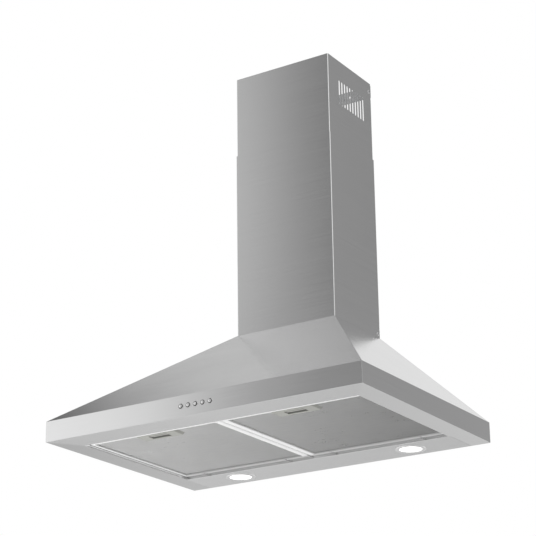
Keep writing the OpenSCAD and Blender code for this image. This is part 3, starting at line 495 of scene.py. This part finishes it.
# The two chimney covers: folded sheets with a tight bend at each front corner
def makeCover(cover):
    half, front, back = cover["half"], cover["front"], cover["back"]
    low, high, notch = cover["low"], cover["high"], cover["notch"]
    innerHalf = half - cover["return"]
    deep = back + cover["notchDepth"]
    if cover["notchAtFoot"]:
        side, returnSpan = [(deep, low), (deep, notch), (back, notch), (back, high)], (notch, high)
    else:
        side, returnSpan = [(back, low), (back, notch), (deep, notch), (deep, high)], (low, notch)
    points, faces = [], []
    for sign in (-1, 1):
        start = len(points)
        points += [(sign * half, -y, z) for y, z in side]
        points += [(sign * half, -front, high), (sign * half, -front, low)]
        faces.append([start + i for i in (range(6) if sign > 0 else range(5, -1, -1))])
        corners = [start + 2, start + 3] if cover["notchAtFoot"] else [start, start + 1]
        inner = len(points)
        points += [(sign * innerHalf, -back, z) for z in returnSpan]
        loop = [corners[0], inner, inner + 1, corners[1]]
        faces.append(loop if sign > 0 else loop[::-1])
    faces.append([5, 13, 12, 4])

    def turnOutwards(form):
        bmesh.ops.recalc_face_normals(form, faces=form.faces)
        form.normal_update()
        frontFace = max(form.faces, key=lambda f: abs(f.normal.y) * f.calc_area())
        if frontFace.normal.y > 0:
            bmesh.ops.reverse_faces(form, faces=form.faces)

    obj = sheetObject(cover["name"], points, faces)
    reshape(obj, turnOutwards)
    foldSheet(obj, cover, 4, 30)
    hole = cylinderProfile(cover["screw"], cover["reach"])
    cutters = [turnedObject("screwHole", hole, 24, (0, cover["screwY"], cover["screwZ"]), (1, 0, 0))]
    if "vents" in cover:
        vents = cover["vents"]
        halfW, halfH = vents["w"] / 2, vents["h"] / 2
        outline = roundedLoop(halfW, halfH, halfW - vents["ease"], 0, (0, 0))
        ends = (-vents["reach"], vents["reach"])
        slot = stackedObject("ventSlot", [[(x, y, z) for y, z, _ in outline] for x in ends])
        start, step = (0, -vents["first"], vents["top"] - halfH), (0, -vents["pitch"], 0)
        cutters.append(repeatInRow("ventRow", slot, start, step, vents["count"], steelSide))
    cutAway(obj, cutters)
    grainMap(obj, levelGrain)
    paint(obj, steelSide)
    smoothShape(obj)
    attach(obj, cover["body"])
    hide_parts(cover["node"])


coverSheet = {"notchDepth": 2, "return": 12, "fold": 2.0, "sheet": 0.8, "screw": 2.2, "reach": 120}
makeCover({**coverSheet, "name": "lower_cover_skin", "node": "lower_chimney", "body": "hood", "half": 115,
           "front": 183, "back": 0, "low": 256, "high": 654, "notch": 287, "notchAtFoot": True, "screwY": -9,
           "screwZ": 263.5})
makeCover({**coverSheet, "name": "upper_cover_skin", "node": "upper_chimney", "body": "upper_cover",
           "half": 113.5, "front": 181.5, "back": 1.5, "low": 432, "high": 832, "notch": 794,
           "notchAtFoot": False, "screwY": -10.5, "screwZ": 811,
           "vents": {"w": 5, "h": 55, "top": 787, "first": 37.5, "pitch": 11, "count": 10, "ease": 0.05,
                     "reach": 130}})
print("chimney covers made")


# Expanded metal, a grid of strands that lean left and right in turn, with a clear place for the latch
def expandedTree():
    kinds = {"Strand": "Object", "Counter Strand": "Object", "Centre": "Vector", "Columns": "Int",
             "Rows": "Int", "Column Pitch": "Float", "Row Pitch": "Float", "Clear Half X": "Float",
             "Clear Half Y": "Float", "Clear X": "Float", "Clear Y": "Float", "Material": "Material"}
    tree, sockets, source = newTree("expandedMetal", kinds)

    def reckon(operation, *values):
        return calculate(tree, operation, *values)

    sizeX = reckon("MULTIPLY", reckon("SUBTRACT", source["Columns"], 1.0), source["Column Pitch"])
    sizeY = reckon("MULTIPLY", reckon("SUBTRACT", source["Rows"], 1.0), source["Row Pitch"])
    inputs = {"Size X": sizeX, "Size Y": sizeY, "Vertices X": source["Columns"],
              "Vertices Y": source["Rows"]}
    grid = addNode(tree, "GeometryNodeMeshGrid", inputs)
    local = addNode(tree, "ShaderNodeSeparateXYZ", {0: addNode(tree, "GeometryNodeInputPosition")[0]})
    across = reckon("ROUND",
                    reckon("DIVIDE", reckon("MULTIPLY_ADD", sizeX, 0.5, local[0]), source["Column Pitch"]))
    up = reckon("ROUND", reckon("DIVIDE", reckon("MULTIPLY_ADD", sizeY, 0.5, local[1]), source["Row Pitch"]))
    parity = reckon("MODULO", reckon("ADD", across, up), 2.0)
    awayX = reckon("ABSOLUTE", reckon("SUBTRACT", local[0], source["Clear X"]))
    awayY = reckon("ABSOLUTE", reckon("SUBTRACT", local[1], source["Clear Y"]))
    outX = reckon("GREATER_THAN", awayX, source["Clear Half X"])
    outY = reckon("GREATER_THAN", awayY, source["Clear Half Y"])
    kept = reckon("GREATER_THAN", reckon("ADD", outX, outY), 0.5)
    even = reckon("MULTIPLY", kept, reckon("LESS_THAN", parity, 0.5))
    odd = reckon("MULTIPLY", kept, reckon("GREATER_THAN", parity, 0.5))
    joined = tree.nodes.new("GeometryNodeJoinGeometry")
    for name, chosen in (("Strand", even), ("Counter Strand", odd)):
        shape = addNode(tree, "GeometryNodeObjectInfo", {"Object": source[name]})["Geometry"]
        inputs = {"Points": grid[0], "Selection": chosen, "Instance": shape}
        tree.links.new(addNode(tree, "GeometryNodeInstanceOnPoints", inputs)[0], joined.inputs[0])
    solid = addNode(tree, "GeometryNodeRealizeInstances", {0: joined.outputs[0]})
    moved = addNode(tree, "GeometryNodeTransform", {"Geometry": solid[0], "Translation": source["Centre"]})
    endTree(tree, moved[0], source["Material"])
    return tree, sockets


expandedMetal, expandedSockets = expandedTree()


# Filters: a frame, the outer mesh strand by strand, a crimped layer behind it and a moulded latch housing
def makeFilterMesh(side, word):
    sheet = {"inner": 2.9, "outer": 303.0, "front": 433.8, "rear": 104.0, "z": 8.3, "pitchX": 3.0,
             "pitchY": 1.6, "strandW": 0.86, "strandT": 0.5, "tilt": 12, "overlapX": 0.08, "overlapY": 0.04,
             "clearHalfX": 42.5, "clearHalfY": 15.0}
    w, t = sheet["strandW"] / 2, sheet["strandT"] / 2
    slant = -math.tan(math.radians(sheet["tilt"]))

    def strandShape(lean):
        points = []
        for end in (-1, 1):
            x = end * (sheet["pitchX"] / 2 + sheet["overlapX"])
            y = end * lean * (sheet["pitchY"] / 2 + sheet["overlapY"])
            section = ((w, -t), (w, t), (-w, t), (-w, -t))
            points += [(x, y + dy, slant * (y + dy) + dz) for dy, dz in section]
        return sheetObject("strand", points, [[i, (i + 1) % 4, 4 + (i + 1) % 4, 4 + i] for i in range(4)])

    strand, counter = strandShape(1), strandShape(-1)
    columns = int((sheet["outer"] - sheet["inner"]) / sheet["pitchX"])
    rows = int((sheet["front"] - sheet["rear"]) / sheet["pitchY"]) - 1
    middleX = side * (sheet["inner"] + sheet["outer"]) / 2
    middleY = -(sheet["front"] + sheet["rear"]) / 2
    values = {"Strand": strand, "Counter Strand": counter, "Columns": columns, "Rows": rows,
              "Centre": [middleX * mm, middleY * mm, sheet["z"] * mm], "Column Pitch": sheet["pitchX"] * mm,
              "Row Pitch": sheet["pitchY"] * mm, "Clear Half X": sheet["clearHalfX"] * mm,
              "Clear Half Y": sheet["clearHalfY"] * mm, "Clear X": (side * latchX - middleX) * mm,
              "Clear Y": (-latchY - middleY) * mm, "Material": strandAlloy}
    obj = runTree("filter_screen_" + word, expandedMetal, expandedSockets, values)
    bpy.data.objects.remove(strand)
    bpy.data.objects.remove(counter)
    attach(obj, word + "_filter")
    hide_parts("filter_mesh_" + word)


def makeFilterFrame(side, word):
    # Rim and opening: inner, outer, front and rear
    bar = {"rim": (1.7, 304.2, 435, 102.5), "opening": (13.7, 298.2, 415, 104.4), "hinge": 94.5, "low": 5,
           "high": 13, "wall": 1.2, "edge": 1.8, "hem": 7.7, "rod": 4, "rodZ": 9, "rodSteps": 12, "pin": 1.5,
           "pinHalf": 7, "notch": 4, "chamfer": 0.5, "hooks": (52.95, 252.95)}
    rim, hole = bar["rim"], bar["opening"]

    def loop(edges, inset, z, radius):
        x0, x1, y0, y1 = edges[0] + inset, edges[1] - inset, edges[2] - inset, edges[3] + inset
        return roundedLoop((x1 - x0) / 2, (y0 - y1) / 2, radius, z, (side * (x0 + x1) / 2, -(y0 + y1) / 2))

    low, high, edge, wall, hem = (bar[key] for key in ("low", "high", "edge", "wall", "hem"))
    loops = [loop(rim, wall, high, 1), loop(rim, 0, high, 2.2), loop(rim, 0, low + edge, 2.2)]
    for share in (30, 60, 90):
        turn = math.radians(share)
        loops.append(loop(rim, edge * (1 - math.cos(turn)), low + edge * (1 - math.sin(turn)), 2.2))
    folds = ((-0.9, low, 3.0), (-0.3, low + 0.25, 2.6), (0, low + 0.9, 2.4), (0, hem, 2.4),
             (-0.5, hem + 0.3, 2.8), (-1.0, hem, 3.0), (-1.0, low + wall, 3.0))
    loops += [loop(hole, *fold) for fold in folds]
    loops += [loop(rim, wall, low + wall, 1), loops[0]]

    def closeRing(form):
        caps = [face for face in form.faces if len(face.verts) > 4]
        bmesh.ops.delete(form, geom=caps, context="FACES_ONLY")
        bmesh.ops.remove_doubles(form, verts=form.verts, dist=weldGap)
        bmesh.ops.recalc_face_normals(form, faces=form.faces)

    ring = stackedObject("ring", loops)
    reshape(ring, closeRing)
    parts = [ring]
    rod, hinge = bar["rod"], bar["hinge"]
    rear, chamfer, steps = -rim[3], bar["chamfer"], bar["rodSteps"]
    profile = [(rear, low + chamfer), (rear + chamfer, low)]
    for step in range(steps + 1):
        turn = math.radians(-90 + 180 * step / steps)
        profile.append((-hinge + rod * math.cos(turn), bar["rodZ"] + rod * math.sin(turn)))
    profile += [(rear + chamfer, high), (rear, high - chamfer)]
    (first, second), notch = bar["hooks"], bar["notch"]
    for x0, x1 in ((rim[0], first - notch), (first + notch, second - notch), (second + notch, rim[1])):
        parts.append(stackedObject("bar", [[(side * x, y, z) for y, z in profile] for x in (x0, x1)]))
    pin = cylinderProfile(bar["pin"], bar["pinHalf"])
    for x in (first, second):
        parts.append(turnedObject("pin", pin, 16, (side * x, -hinge, bar["rodZ"]), (1, 0, 0)))
    obj = joinObjects("filter_surround_" + word, parts)
    paint(obj, filterAlloy, hingePaintedShadeAlloy)
    # Faces behind the opening's rear edge get the darker alloy: painted shade on the hinge bar
    paintedShadeFrom = -(hole[3] + chamfer) * mm
    for face in obj.data.polygons:
        face.material_index = 1 if face.center.y > paintedShadeFrom else 0
    smoothShape(obj, 40)
    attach(obj, word + "_filter")
    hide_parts("filter_frame_" + word)


def makeFilterWool(side, word):
    wool = {"inner": 3.0, "outer": 302.9, "front": 433.6, "rear": 102.6, "low": 9.6, "high": 10.6,
            "waves": 96, "gapFront": 413.4, "gapRear": 381.6, "gapHalf": 42.6, "foil": 0.2}
    points, faces = [], []
    rear, waves, span = wool["rear"], wool["waves"], wool["front"] - wool["rear"]
    xs = [wool["inner"], latchX - wool["gapHalf"], latchX + wool["gapHalf"], wool["outer"]]
    for i in range(waves + 1):
        y = -rear - span * i / waves
        z = wool["low"] if i % 2 else wool["high"]
        points += [(side * x, y, z) for x in xs]
        if i == 0:
            continue
        before = -rear - span * (i - 1) / waves
        inGap = y < -wool["gapRear"] and before > -wool["gapFront"]
        for k in range(3):
            if k == 1 and inGap:
                continue
            a = (i - 1) * 4 + k
            faces.append([a, a + 1, a + 5, a + 4])
    obj = sheetObject("filter_wool_" + word, points, faces)
    addModifier(obj, "SOLIDIFY", thickness=wool["foil"] * mm, offset=0)
    freezeShape(obj)
    paint(obj, woolAlloy)
    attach(obj, word + "_filter")


def makeHandle(side, word):
    # Neck and tongue slots: half width, front, low, high. Spring bore: radius, depth, front, height
    housing = {"foot": (44, 16.5), "body": (42, 14.5), "pocket": (21, 9), "neck": (6.3, 402.3, 12.0, 15.1),
               "tongue": (12.3, 415, 14.7, 17.3), "slotRear": 387.7, "spring": (2.4, 8.9, 394.9, 16),
               "lip": 0.35, "paintedShadeLow": 4.4, "paintedShadeHigh": 19}
    x, y = at = (side * latchX, -latchY)
    (a, b), (c, d), (p, q) = (housing[key] for key in ("foot", "body", "pocket"))
    rows = [(c - 0.8, d - 0.8, 1.6, 20), (c, d, 2.2, 19.2), (c, d, 2.2, 8.05), (a + 3.4, b - 0.3, 2.8, 8.0),
            (a + 0.3, b, 3, 5.1), (a, b, 3, 4.9), (a - 0.15, b - 0.15, 2.9, 4.7),
            (a - 0.55, b - 0.55, 2.6, 4.35), (a - 1.2, b - 1.2, 2.2, 4.2), (p + 1.0, q + 0.9, 2.6, 4.2),
            (p + 0.4, q + 0.4, 2.2, 4.35), (p, q, 1.8, 5.0), (p - 0.1, q - 0.1, 1.7, 12.0),
            (p - 0.3, q - 0.3, 1.5, 12.2)]
    obj = stackedObject("latch_housing_" + word, [roundedLoop(*row, at) for row in rows])
    cutters = []
    for slot in ("neck", "tongue"):
        half, front, low, high = housing[slot]
        cutters.append(boxObject(slot, (x - half, -front, low), (x + half, -housing["slotRear"], high)))
    radius, depth, front, z = housing["spring"]
    bore = [(0, 0), (radius, 0), (radius, depth), (0, depth)]
    cutters.append(turnedObject("springBore", bore, 16, (x, -front, z), (0, 1, 0)))
    cutAway(obj, cutters)
    paint(obj, latchPlastic, latchPocketPaintedShade)
    # Faces inside the pocket, between two heights, get the darker plastic: painted shade in the recess
    lip, paintedShadeLow, paintedShadeHigh = housing["lip"], housing["paintedShadeLow"], housing["paintedShadeHigh"]
    for face in obj.data.polygons:
        spot = face.center / mm
        inPocket = abs(spot.x - x) < p + lip and abs(spot.y - y) < q + lip
        face.material_index = 1 if inPocket and paintedShadeLow < spot.z < paintedShadeHigh else 0
    smoothShape(obj, 40)
    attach(obj, word + "_filter")
    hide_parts("filter_handle_" + word)


# The latch spring: a coil with closed ends, squashed between the tongue and its bore
def makeLatchCoil(side, word):
    coil = {"x": side * latchX, "front": -394, "z": 16, "radius": 1.7, "wire": 0.3, "turns": 5, "length": 8,
            "steps": 20, "sides": 8, "closing": 0.8, "travel": 6}
    wire, sides, rings = coil["wire"], coil["sides"], coil["turns"] * coil["steps"]
    points, faces = [], []
    for ring in range(rings + 1):
        share = ring / rings
        turn = 2 * math.pi * coil["turns"] * share
        rise = share - coil["closing"] * math.sin(2 * math.pi * share) / (2 * math.pi)
        y = coil["front"] + wire + rise * (coil["length"] - 2 * wire)
        for k in range(sides):
            around = 2 * math.pi * k / sides
            out = coil["radius"] + wire * math.cos(around)
            points.append((coil["x"] + out * math.cos(turn), y + wire * math.sin(around),
                           coil["z"] + out * math.sin(turn)))
    for ring in range(rings):
        for k in range(sides):
            a, b = ring * sides + k, ring * sides + (k + 1) % sides
            faces.append([a, b, b + sides, a + sides])
    faces += [list(range(sides - 1, -1, -1)), [rings * sides + k for k in range(sides)]]
    obj = sheetObject("latch_coil_" + word, points, faces)
    paint(obj, screwSteel)
    smoothShape(obj, 60)
    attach(obj, word + "_filter")
    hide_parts("latch_spring_" + word)
    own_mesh(obj)


for side, word in ((-1, "left"), (1, "right")):
    makeFilterFrame(side, word)
    makeFilterMesh(side, word)
    makeFilterWool(side, word)
    makeHandle(side, word)
    makeLatchCoil(side, word)
print("filters made")


# Lamps: a turned bezel and an opal lens, lit
def makeLamp(word, place):
    lamp = {"outer": 31, "lens": 22.5, "sleeve": 27.8, "wall": 2.5, "depth": 10}
    out, r, s, w, depth = lamp.values()
    ring = [(out, 0), (out, 0.35), (out - 0.25, 0.8), (out - 0.9, 1.1), (out - 2, 1.2), (r + 0.8, 1.2),
            (r + 0.4, 1.05), (r + 0.1, 0.7), (r, 0.3), (r, 0), (s - w, -0.02), (s - w, -depth), (s, -depth),
            (s, 0), (out, 0)]
    bezel = turnedObject("lamp_ring_" + word, ring, 96, place, (0, 0, -1))
    paint(bezel, bezelWhite)
    smoothShape(bezel, 50)
    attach(bezel, "hood")
    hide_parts("lamp_bezel_" + word)
    edge = s - w - 0.1
    glass = [(0, 0.0), (edge - 2.8, 0.0), (edge - 2.4, -0.05), (edge, -0.1), (edge, -2), (0, -2)]
    lens = turnedObject("lamp_opal_" + word, glass, 96, place, (0, 0, -1))
    paint(lens, lampOpal)
    smoothShape(lens, 50)
    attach(lens, "hood")
    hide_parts("lamp_lens_" + word)


for word, place in lampPlaces.items():
    makeLamp(word, place)
print("lamps made")


# Buttons: polished rings, and domed caps with a turned face, dark beyond the dome as painted shade
def makeButtons():
    row = {"ring": 5.8, "bore": 4.7, "sleeve": 5.3, "cap": 4.4, "stem": 1.6, "shade": 3.05}
    out, bore, sleeve, cap, stem, shade = row.values()
    rings = []
    for word, place in buttonPlaces.items():
        ring = [(out, 0), (out, 0.3), (out - 0.15, 0.6), (out - 0.4, 0.78), (out - 0.6, 0.8),
                (bore + 0.2, 0.8), (bore + 0.04, 0.7), (bore, 0.5), (bore, -3), (sleeve, -3), (sleeve, 0),
                (out, 0)]
        rings.append(turnedObject("ring", ring, 48, place, (0, -1, 0)))
        dome = [(0, 2.8), (0.8, 2.77), (1.6, 2.66), (2.2, 2.46), (2.6, 2.2), (2.75, 2.0), (3.0, 1.9),
                (3.5, 1.86), (4.0, 1.76), (4.25, 1.6), (cap, 1.3), (cap, -9.8), (stem, -9.8), (stem, -19.8),
                (0, -19.8)]
        button = turnedObject("cap_" + word, dome, 48, place, (0, -1, 0))
        paint(button, buttonAlloy, capPaintedShade)
        # Cap faces beyond the dome get the dark metal: painted shade of the gap between cap and ring
        for face in button.data.polygons:
            away = math.hypot(face.center.x / mm - place[0], face.center.z / mm - place[2])
            face.material_index = 1 if away > shade else 0
        smoothShape(button, 40)
        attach(button, "button_" + word)
        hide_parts("button_" + word)
    joined = joinObjects("button_trim_rings", rings)
    paint(joined, ringChrome)
    smoothShape(joined, 50)
    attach(joined, "hood")
    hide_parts("button_rings")


makeButtons()
print("buttons made")


# Pan-head screws with a cross recess, one each side of a cover
def makeCoverScrews(pair):
    form = {"shank": 2.2, "head": 3.8, "length": 8, "thick": 2, "long": 1.9, "half": 0.45, "start": 0.8}
    shank, head, length, thick, long, half, start = form.values()
    profile = [(0, -length), (shank * 0.5, -length), (shank, -length + 1.5), (shank, 0), (head, 0),
               (head, 0.7), (3.6, 1.2), (3.1, 1.6), (2.2, 1.88), (1.1, 1.98), (0, thick)]
    screws = []
    for side in (-1, 1):
        x, y, z = side * pair["x"], pair["y"], pair["z"]
        screw = turnedObject("screw", profile, 40, (x, y, z), (side, 0, 0))
        low, high = sorted((x + side * start, x + side * (thick + 1)))
        cutAway(screw,
                [boxObject("slotY", (low, y - long, z - half), (high, y + long, z + half)),
                 boxObject("slotZ", (low, y - half, z - long), (high, y + half, z + long))])
        screws.append(screw)
    obj = joinObjects(pair["name"], screws)
    paint(obj, screwSteel)
    smoothShape(obj)
    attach(obj, pair["body"])
    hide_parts(pair["node"])


makeCoverScrews({"name": "lower_cover_screws", "node": "lower_chimney_screws", "body": "hood", "x": 115,
                 "y": -9, "z": 263.5})
makeCoverScrews({"name": "upper_cover_screws", "node": "upper_chimney_screws", "body": "upper_cover",
                 "x": 113.5, "y": -10.5, "z": 811})
print("screws made")


# Non-return flaps: half discs on one pin, with their knuckles a little apart
def makeFlap(facing, word):
    flap = {"y": -86, "z": 264, "radius": 72.2, "edge": 3.6, "foot": 2, "sheet": 1.5, "knuckle": 3,
            "bore": 1.6, "half": 9.8, "places": (-40, 20), "steps": 48, "ease": 0.2}
    start = math.asin(flap["edge"] / flap["radius"])
    outline = []
    for step in range(flap["steps"] + 1):
        turn = start + (math.pi - 2 * start) * step / flap["steps"]
        outline.append((flap["radius"] * math.cos(turn), flap["radius"] * math.sin(turn)))
    for middle in flap["places"]:
        x0, x1 = middle - flap["half"], middle + flap["half"]
        outline += [(x0, flap["edge"]), (x0, flap["foot"]), (x1, flap["foot"]), (x1, flap["edge"])]
    t, y0, z0 = flap["sheet"] / 2, flap["y"], flap["z"]
    loops = [[(facing * x, y0 + facing * y, z0 + rise) for x, y in outline] for rise in (-t, t)]
    blade = stackedObject("blade", loops)
    easeEdges(blade, flap["ease"], 2, 40)
    parts = [freezeShape(blade)]
    out, bore, half, ease = flap["knuckle"], flap["bore"], flap["half"], flap["ease"]
    profile = [(bore, -half), (out - ease, -half), (out, ease - half), (out, half - ease),
               (out - ease, half), (bore, half), (bore, -half)]
    for middle in flap["places"]:
        parts.append(turnedObject("knuckle", profile, 32, (facing * middle, y0, z0), (1, 0, 0)))
    obj = joinObjects("flap_blade_" + word, parts)
    paint(obj, darkPlastic)
    smoothShape(obj, 40)
    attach(obj, word + "_flap")
    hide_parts("flap_" + word)


makeFlap(1, "rear")
makeFlap(-1, "front")
print("flaps made")


# Carried-over CAD nodes: their edges eased by a live bevel, and a finish for each
def dressNode(name, material, edge=0.0):
    obj = nodes[name]
    if not obj.material_slots:
        paint(obj, material)
    for slot in obj.material_slots:
        slot.material = material
    if edge:
        addModifier(obj, "WELD", merge_threshold=cadWeld)
        easeEdges(obj, edge, 2, 40)
        addModifier(obj, "WEIGHTED_NORMAL", keep_sharp=True)


finishes = {"canopy_steel": (steelSide, 0.3), "chimney_steel": (steelSide, 0.3),
            "lamp_panel_steel": (steelUnderX, 0.3), "galvanised_steel": (galvanised, 0.25),
            "filter_aluminium": (filterAlloy, 0.35), "filter_mesh": (strandAlloy, 0),
            "latch_plastic": (latchPlastic, 0.5), "lamp_trim": (bezelWhite, 0.2),
            "lamp_diffuser": (lampOpal, 0.2), "lamp_metal": (castMetal, 0.2), "button_trim": (ringChrome, 0),
            "button_cap": (buttonAlloy, 0), "dark_plastic": (darkPlastic, 0.3),
            "screw_steel": (screwSteel, 0.15), "motor_paint": (motorPaint, 0.5),
            "wheel_steel": (wheelSteel, 0), "pale_plastic": (palePlastic, 0.4),
            "capacitor_case": (capacitorTin, 0.5)}
for part in frame["record"]["subparts"]:
    material, edge = finishes[part["material_slot"]]
    dressNode(part["node"], material, 0 if nodes[part["node"]].hide_render else edge)
# The hinge hooks get the darker alloy too: painted shade
dressNode("hinge_hooks", hingePaintedShadeAlloy)
print("CAD nodes dressed")


# Studio: an environment for reflections and shading only, white behind the object, a pale floor far below
studio = {
    "steel": 0.73, "strength": 1.3,
    # Ramps of (azimuth, screen tone), and after them the heights at which each fades in
    "down": [(-180, 187), (-156, 188), (-154, 187), (-152, 185), (-149.5, 183), (-147, 182), (-145, 181),
             (-143, 176), (-141, 169), (-135, 175), (-90, 190), (0, 180), (90, 180), (125, 225), (146, 262),
             (158, 240), (168, 200), (180, 187)],
    "level": [(-180, 150), (-150, 170), (-120, 190), (-90, 205), (-60, 222), (-41, 236), (-39.5, 233),
              (-38.5, 229), (-37.7, 226), (-37, 222), (-36.3, 218), (-35.7, 211), (-35, 194), (-33.9, 168),
              (-33.3, 155), (-32.5, 142), (-31.7, 132), (-30.7, 130), (-30, 134), (-29, 142), (-26, 140),
              (-10, 145), (20, 155), (90, 160), (125, 150), (151, 145), (153, 141), (155, 147), (180, 150)],
    "mid": [(-180, 206), (-154, 206), (-146, 200), (-138, 190), (-132, 140), (-110, 140), (-90, 180),
            (-60, 200), (-41, 205), (-36, 200), (-34, 190), (-33.3, 180), (-32.3, 163), (-31.8, 150),
            (-31.2, 135), (-30.6, 117), (-30.1, 112), (-28, 108), (-15, 108), (0, 125), (20, 215),
            (57, 245), (95, 225), (125, 150), (149, 142), (150, 139), (151.3, 127), (155, 140), (165, 160),
            (180, 206)],
    "high": [(-180, 165), (-146, 165), (-141.2, 163), (-140.6, 155), (-140, 165), (-139.5, 175),
             (-138.7, 188), (-137.5, 188), (-135.4, 182), (-134, 180), (-133.3, 176), (-132.6, 168),
             (-131.9, 134), (-131.2, 70), (-129, 60), (-120, 80), (-90, 170), (-46, 222), (-41.2, 222),
             (-40.9, 214), (-40.6, 196), (-40.2, 172), (-39.8, 158), (-39.4, 150), (-36, 158), (-30, 150),
             (-20, 130), (10, 200), (90, 210), (130, 135), (150, 122), (180, 165)],
    "zenith": [(-180, 190), (-137, 190), (-132, 130), (-120, 120), (-100, 150), (-72, 168), (-30, 176),
               (0, 205), (90, 215), (180, 190)],
    "nadir": [(-180, 122), (-148, 120), (-145, 116), (-143.6, 124), (-142.4, 156), (-140.8, 246),
              (-139, 278), (-125, 282), (-100, 215), (-58, 176), (-30, 176), (0, 195), (90, 205),
              (150, 180), (180, 165)],
    "fades": {"down": (-0.56, -0.42), "level": (-0.12, 0.12), "mid": (0.27, 0.33), "high": (0.47, 0.57),
              "zenith": (0.72, 0.88)},
    "floorZ": -4.7, "floorHalf": 30}


# A screen tone to the radiance that steel of this reflectance turns into it
def radiance(tone):
    share = tone / 255
    return ((share + 0.055) / 1.055) ** 2.4 / studio["steel"] / studio["strength"]


def makeWorld():
    world = bpy.data.worlds.new("studioAir")
    scene.world = world
    world.use_nodes = True
    tree = world.node_tree
    tree.nodes.clear()
    parts = addNode(tree, "ShaderNodeSeparateXYZ", {0: addNode(tree, "ShaderNodeTexCoord")["Generated"]})
    turn = calculate(tree, "ARCTAN2", parts[0], calculate(tree, "MULTIPLY", parts[1], -1.0))
    inputs = {"Value": turn, "From Min": -math.pi, "From Max": math.pi}
    share = addNode(tree, "ShaderNodeMapRange", inputs)[0]

    def band(stops):
        ramp = tree.nodes.new("ShaderNodeValToRGB")
        tree.links.new(share, ramp.inputs[0])
        elements = ramp.color_ramp.elements
        while len(elements) > 1:
            elements.remove(elements[0])
        for i, (azimuth, tone) in enumerate(stops):
            element = elements[0] if i == 0 else elements.new(0.5 + azimuth / 360)
            element.position = 0.5 + azimuth / 360
            element.color = (*[radiance(tone)] * 3, 1)
        return ramp.outputs[0]

    def fade(low, high):
        inputs = {"Value": parts[2], "From Min": low, "From Max": high}
        return addNode(tree, "ShaderNodeMapRange", inputs, interpolation_type="SMOOTHSTEP")[0]

    sky = band(studio["nadir"])
    for name, (low, high) in studio["fades"].items():
        sky = mixColour(tree, fade(low, high), sky, band(studio[name]))
    air = addNode(tree, "ShaderNodeBackground", {"Color": sky, "Strength": studio["strength"]})[0]
    white = addNode(tree, "ShaderNodeBackground", {"Color": (1, 1, 1, 1), "Strength": 1.0})[0]
    seen = addNode(tree, "ShaderNodeLightPath")["Is Camera Ray"]
    both = addNode(tree, "ShaderNodeMixShader", {0: seen, 1: air, 2: white})[0]
    addNode(tree, "ShaderNodeOutputWorld", {0: both})


def makeFloor():
    half, z = studio["floorHalf"] / mm, studio["floorZ"] / mm
    corners = [(-half, -half, z), (half, -half, z), (half, half, z), (-half, half, z)]
    floor = sheetObject("studio_floor", corners, [[0, 1, 2, 3]])
    material, tree, shader = newMaterial("paleFloor", {"Roughness": 0.9, "Specular IOR Level": 0.1})
    cloud = noiseAt(tree, (0.6, 0.6, 0.6), 3, 0.5)
    feed(tree, shader,
         {"Base Color": mixColour(tree, spread(tree, cloud, 0, 1), (0.9, 0.9, 0.9), (0.93, 0.93, 0.93))})
    paint(floor, material)
    floor.visible_glossy = False


def addLight(name, place, aim, size, power):
    lamp = bpy.data.lights.new(name, "AREA")
    lamp.shape = "SQUARE"
    lamp.size = size
    lamp.energy = power
    obj = linkObject(name, lamp)
    obj.location = place
    obj.rotation_euler = (Vector(aim) - Vector(place)).to_track_quat("-Z", "Y").to_euler()
    obj.visible_glossy = False
    obj.visible_camera = False


def makeCamera():
    view = {"place": (1.805, -3.098, -0.88), "azimuth": 32.85, "elevation": 18.82, "roll": -0.63,
            "focal": 1800, "width": 536, "sensor": 36, "far": 200, "shiftX": -0.028, "shiftY": 0.08}
    azimuth, elevation, roll = (math.radians(view[key]) for key in ("azimuth", "elevation", "roll"))
    level = math.cos(elevation)
    ahead = Vector((-math.sin(azimuth) * level, math.cos(azimuth) * level, math.sin(elevation)))
    right = Vector((math.cos(azimuth), math.sin(azimuth), 0))
    up = right.cross(ahead)
    rightRolled = right * math.cos(roll) + up * math.sin(roll)
    upRolled = up * math.cos(roll) - right * math.sin(roll)
    lens = bpy.data.cameras.new("photoCamera")
    lens.lens = view["focal"] / view["width"] * view["sensor"]
    lens.sensor_width = view["sensor"]
    lens.sensor_fit = "HORIZONTAL"
    lens.shift_x = -view["shiftX"]
    lens.shift_y = view["shiftY"]
    lens.clip_end = view["far"]
    obj = linkObject("photoCamera", lens)
    axes = Matrix((rightRolled, upRolled, -ahead)).transposed().to_4x4()
    obj.matrix_world = Matrix.Translation(view["place"]) @ axes
    scene.camera = obj


makeWorld()
makeFloor()
addLight("overheadSoft", (-1.5, -2.5, 3.2), (0, -0.25, 0.3), 2.5, 30)
addLight("underFill", (-1.0, -1.3, -1.7), (0, -0.25, 0.0), 1.4, 36)
makeCamera()
scene.view_settings.view_transform = "Standard"
print("studio made")
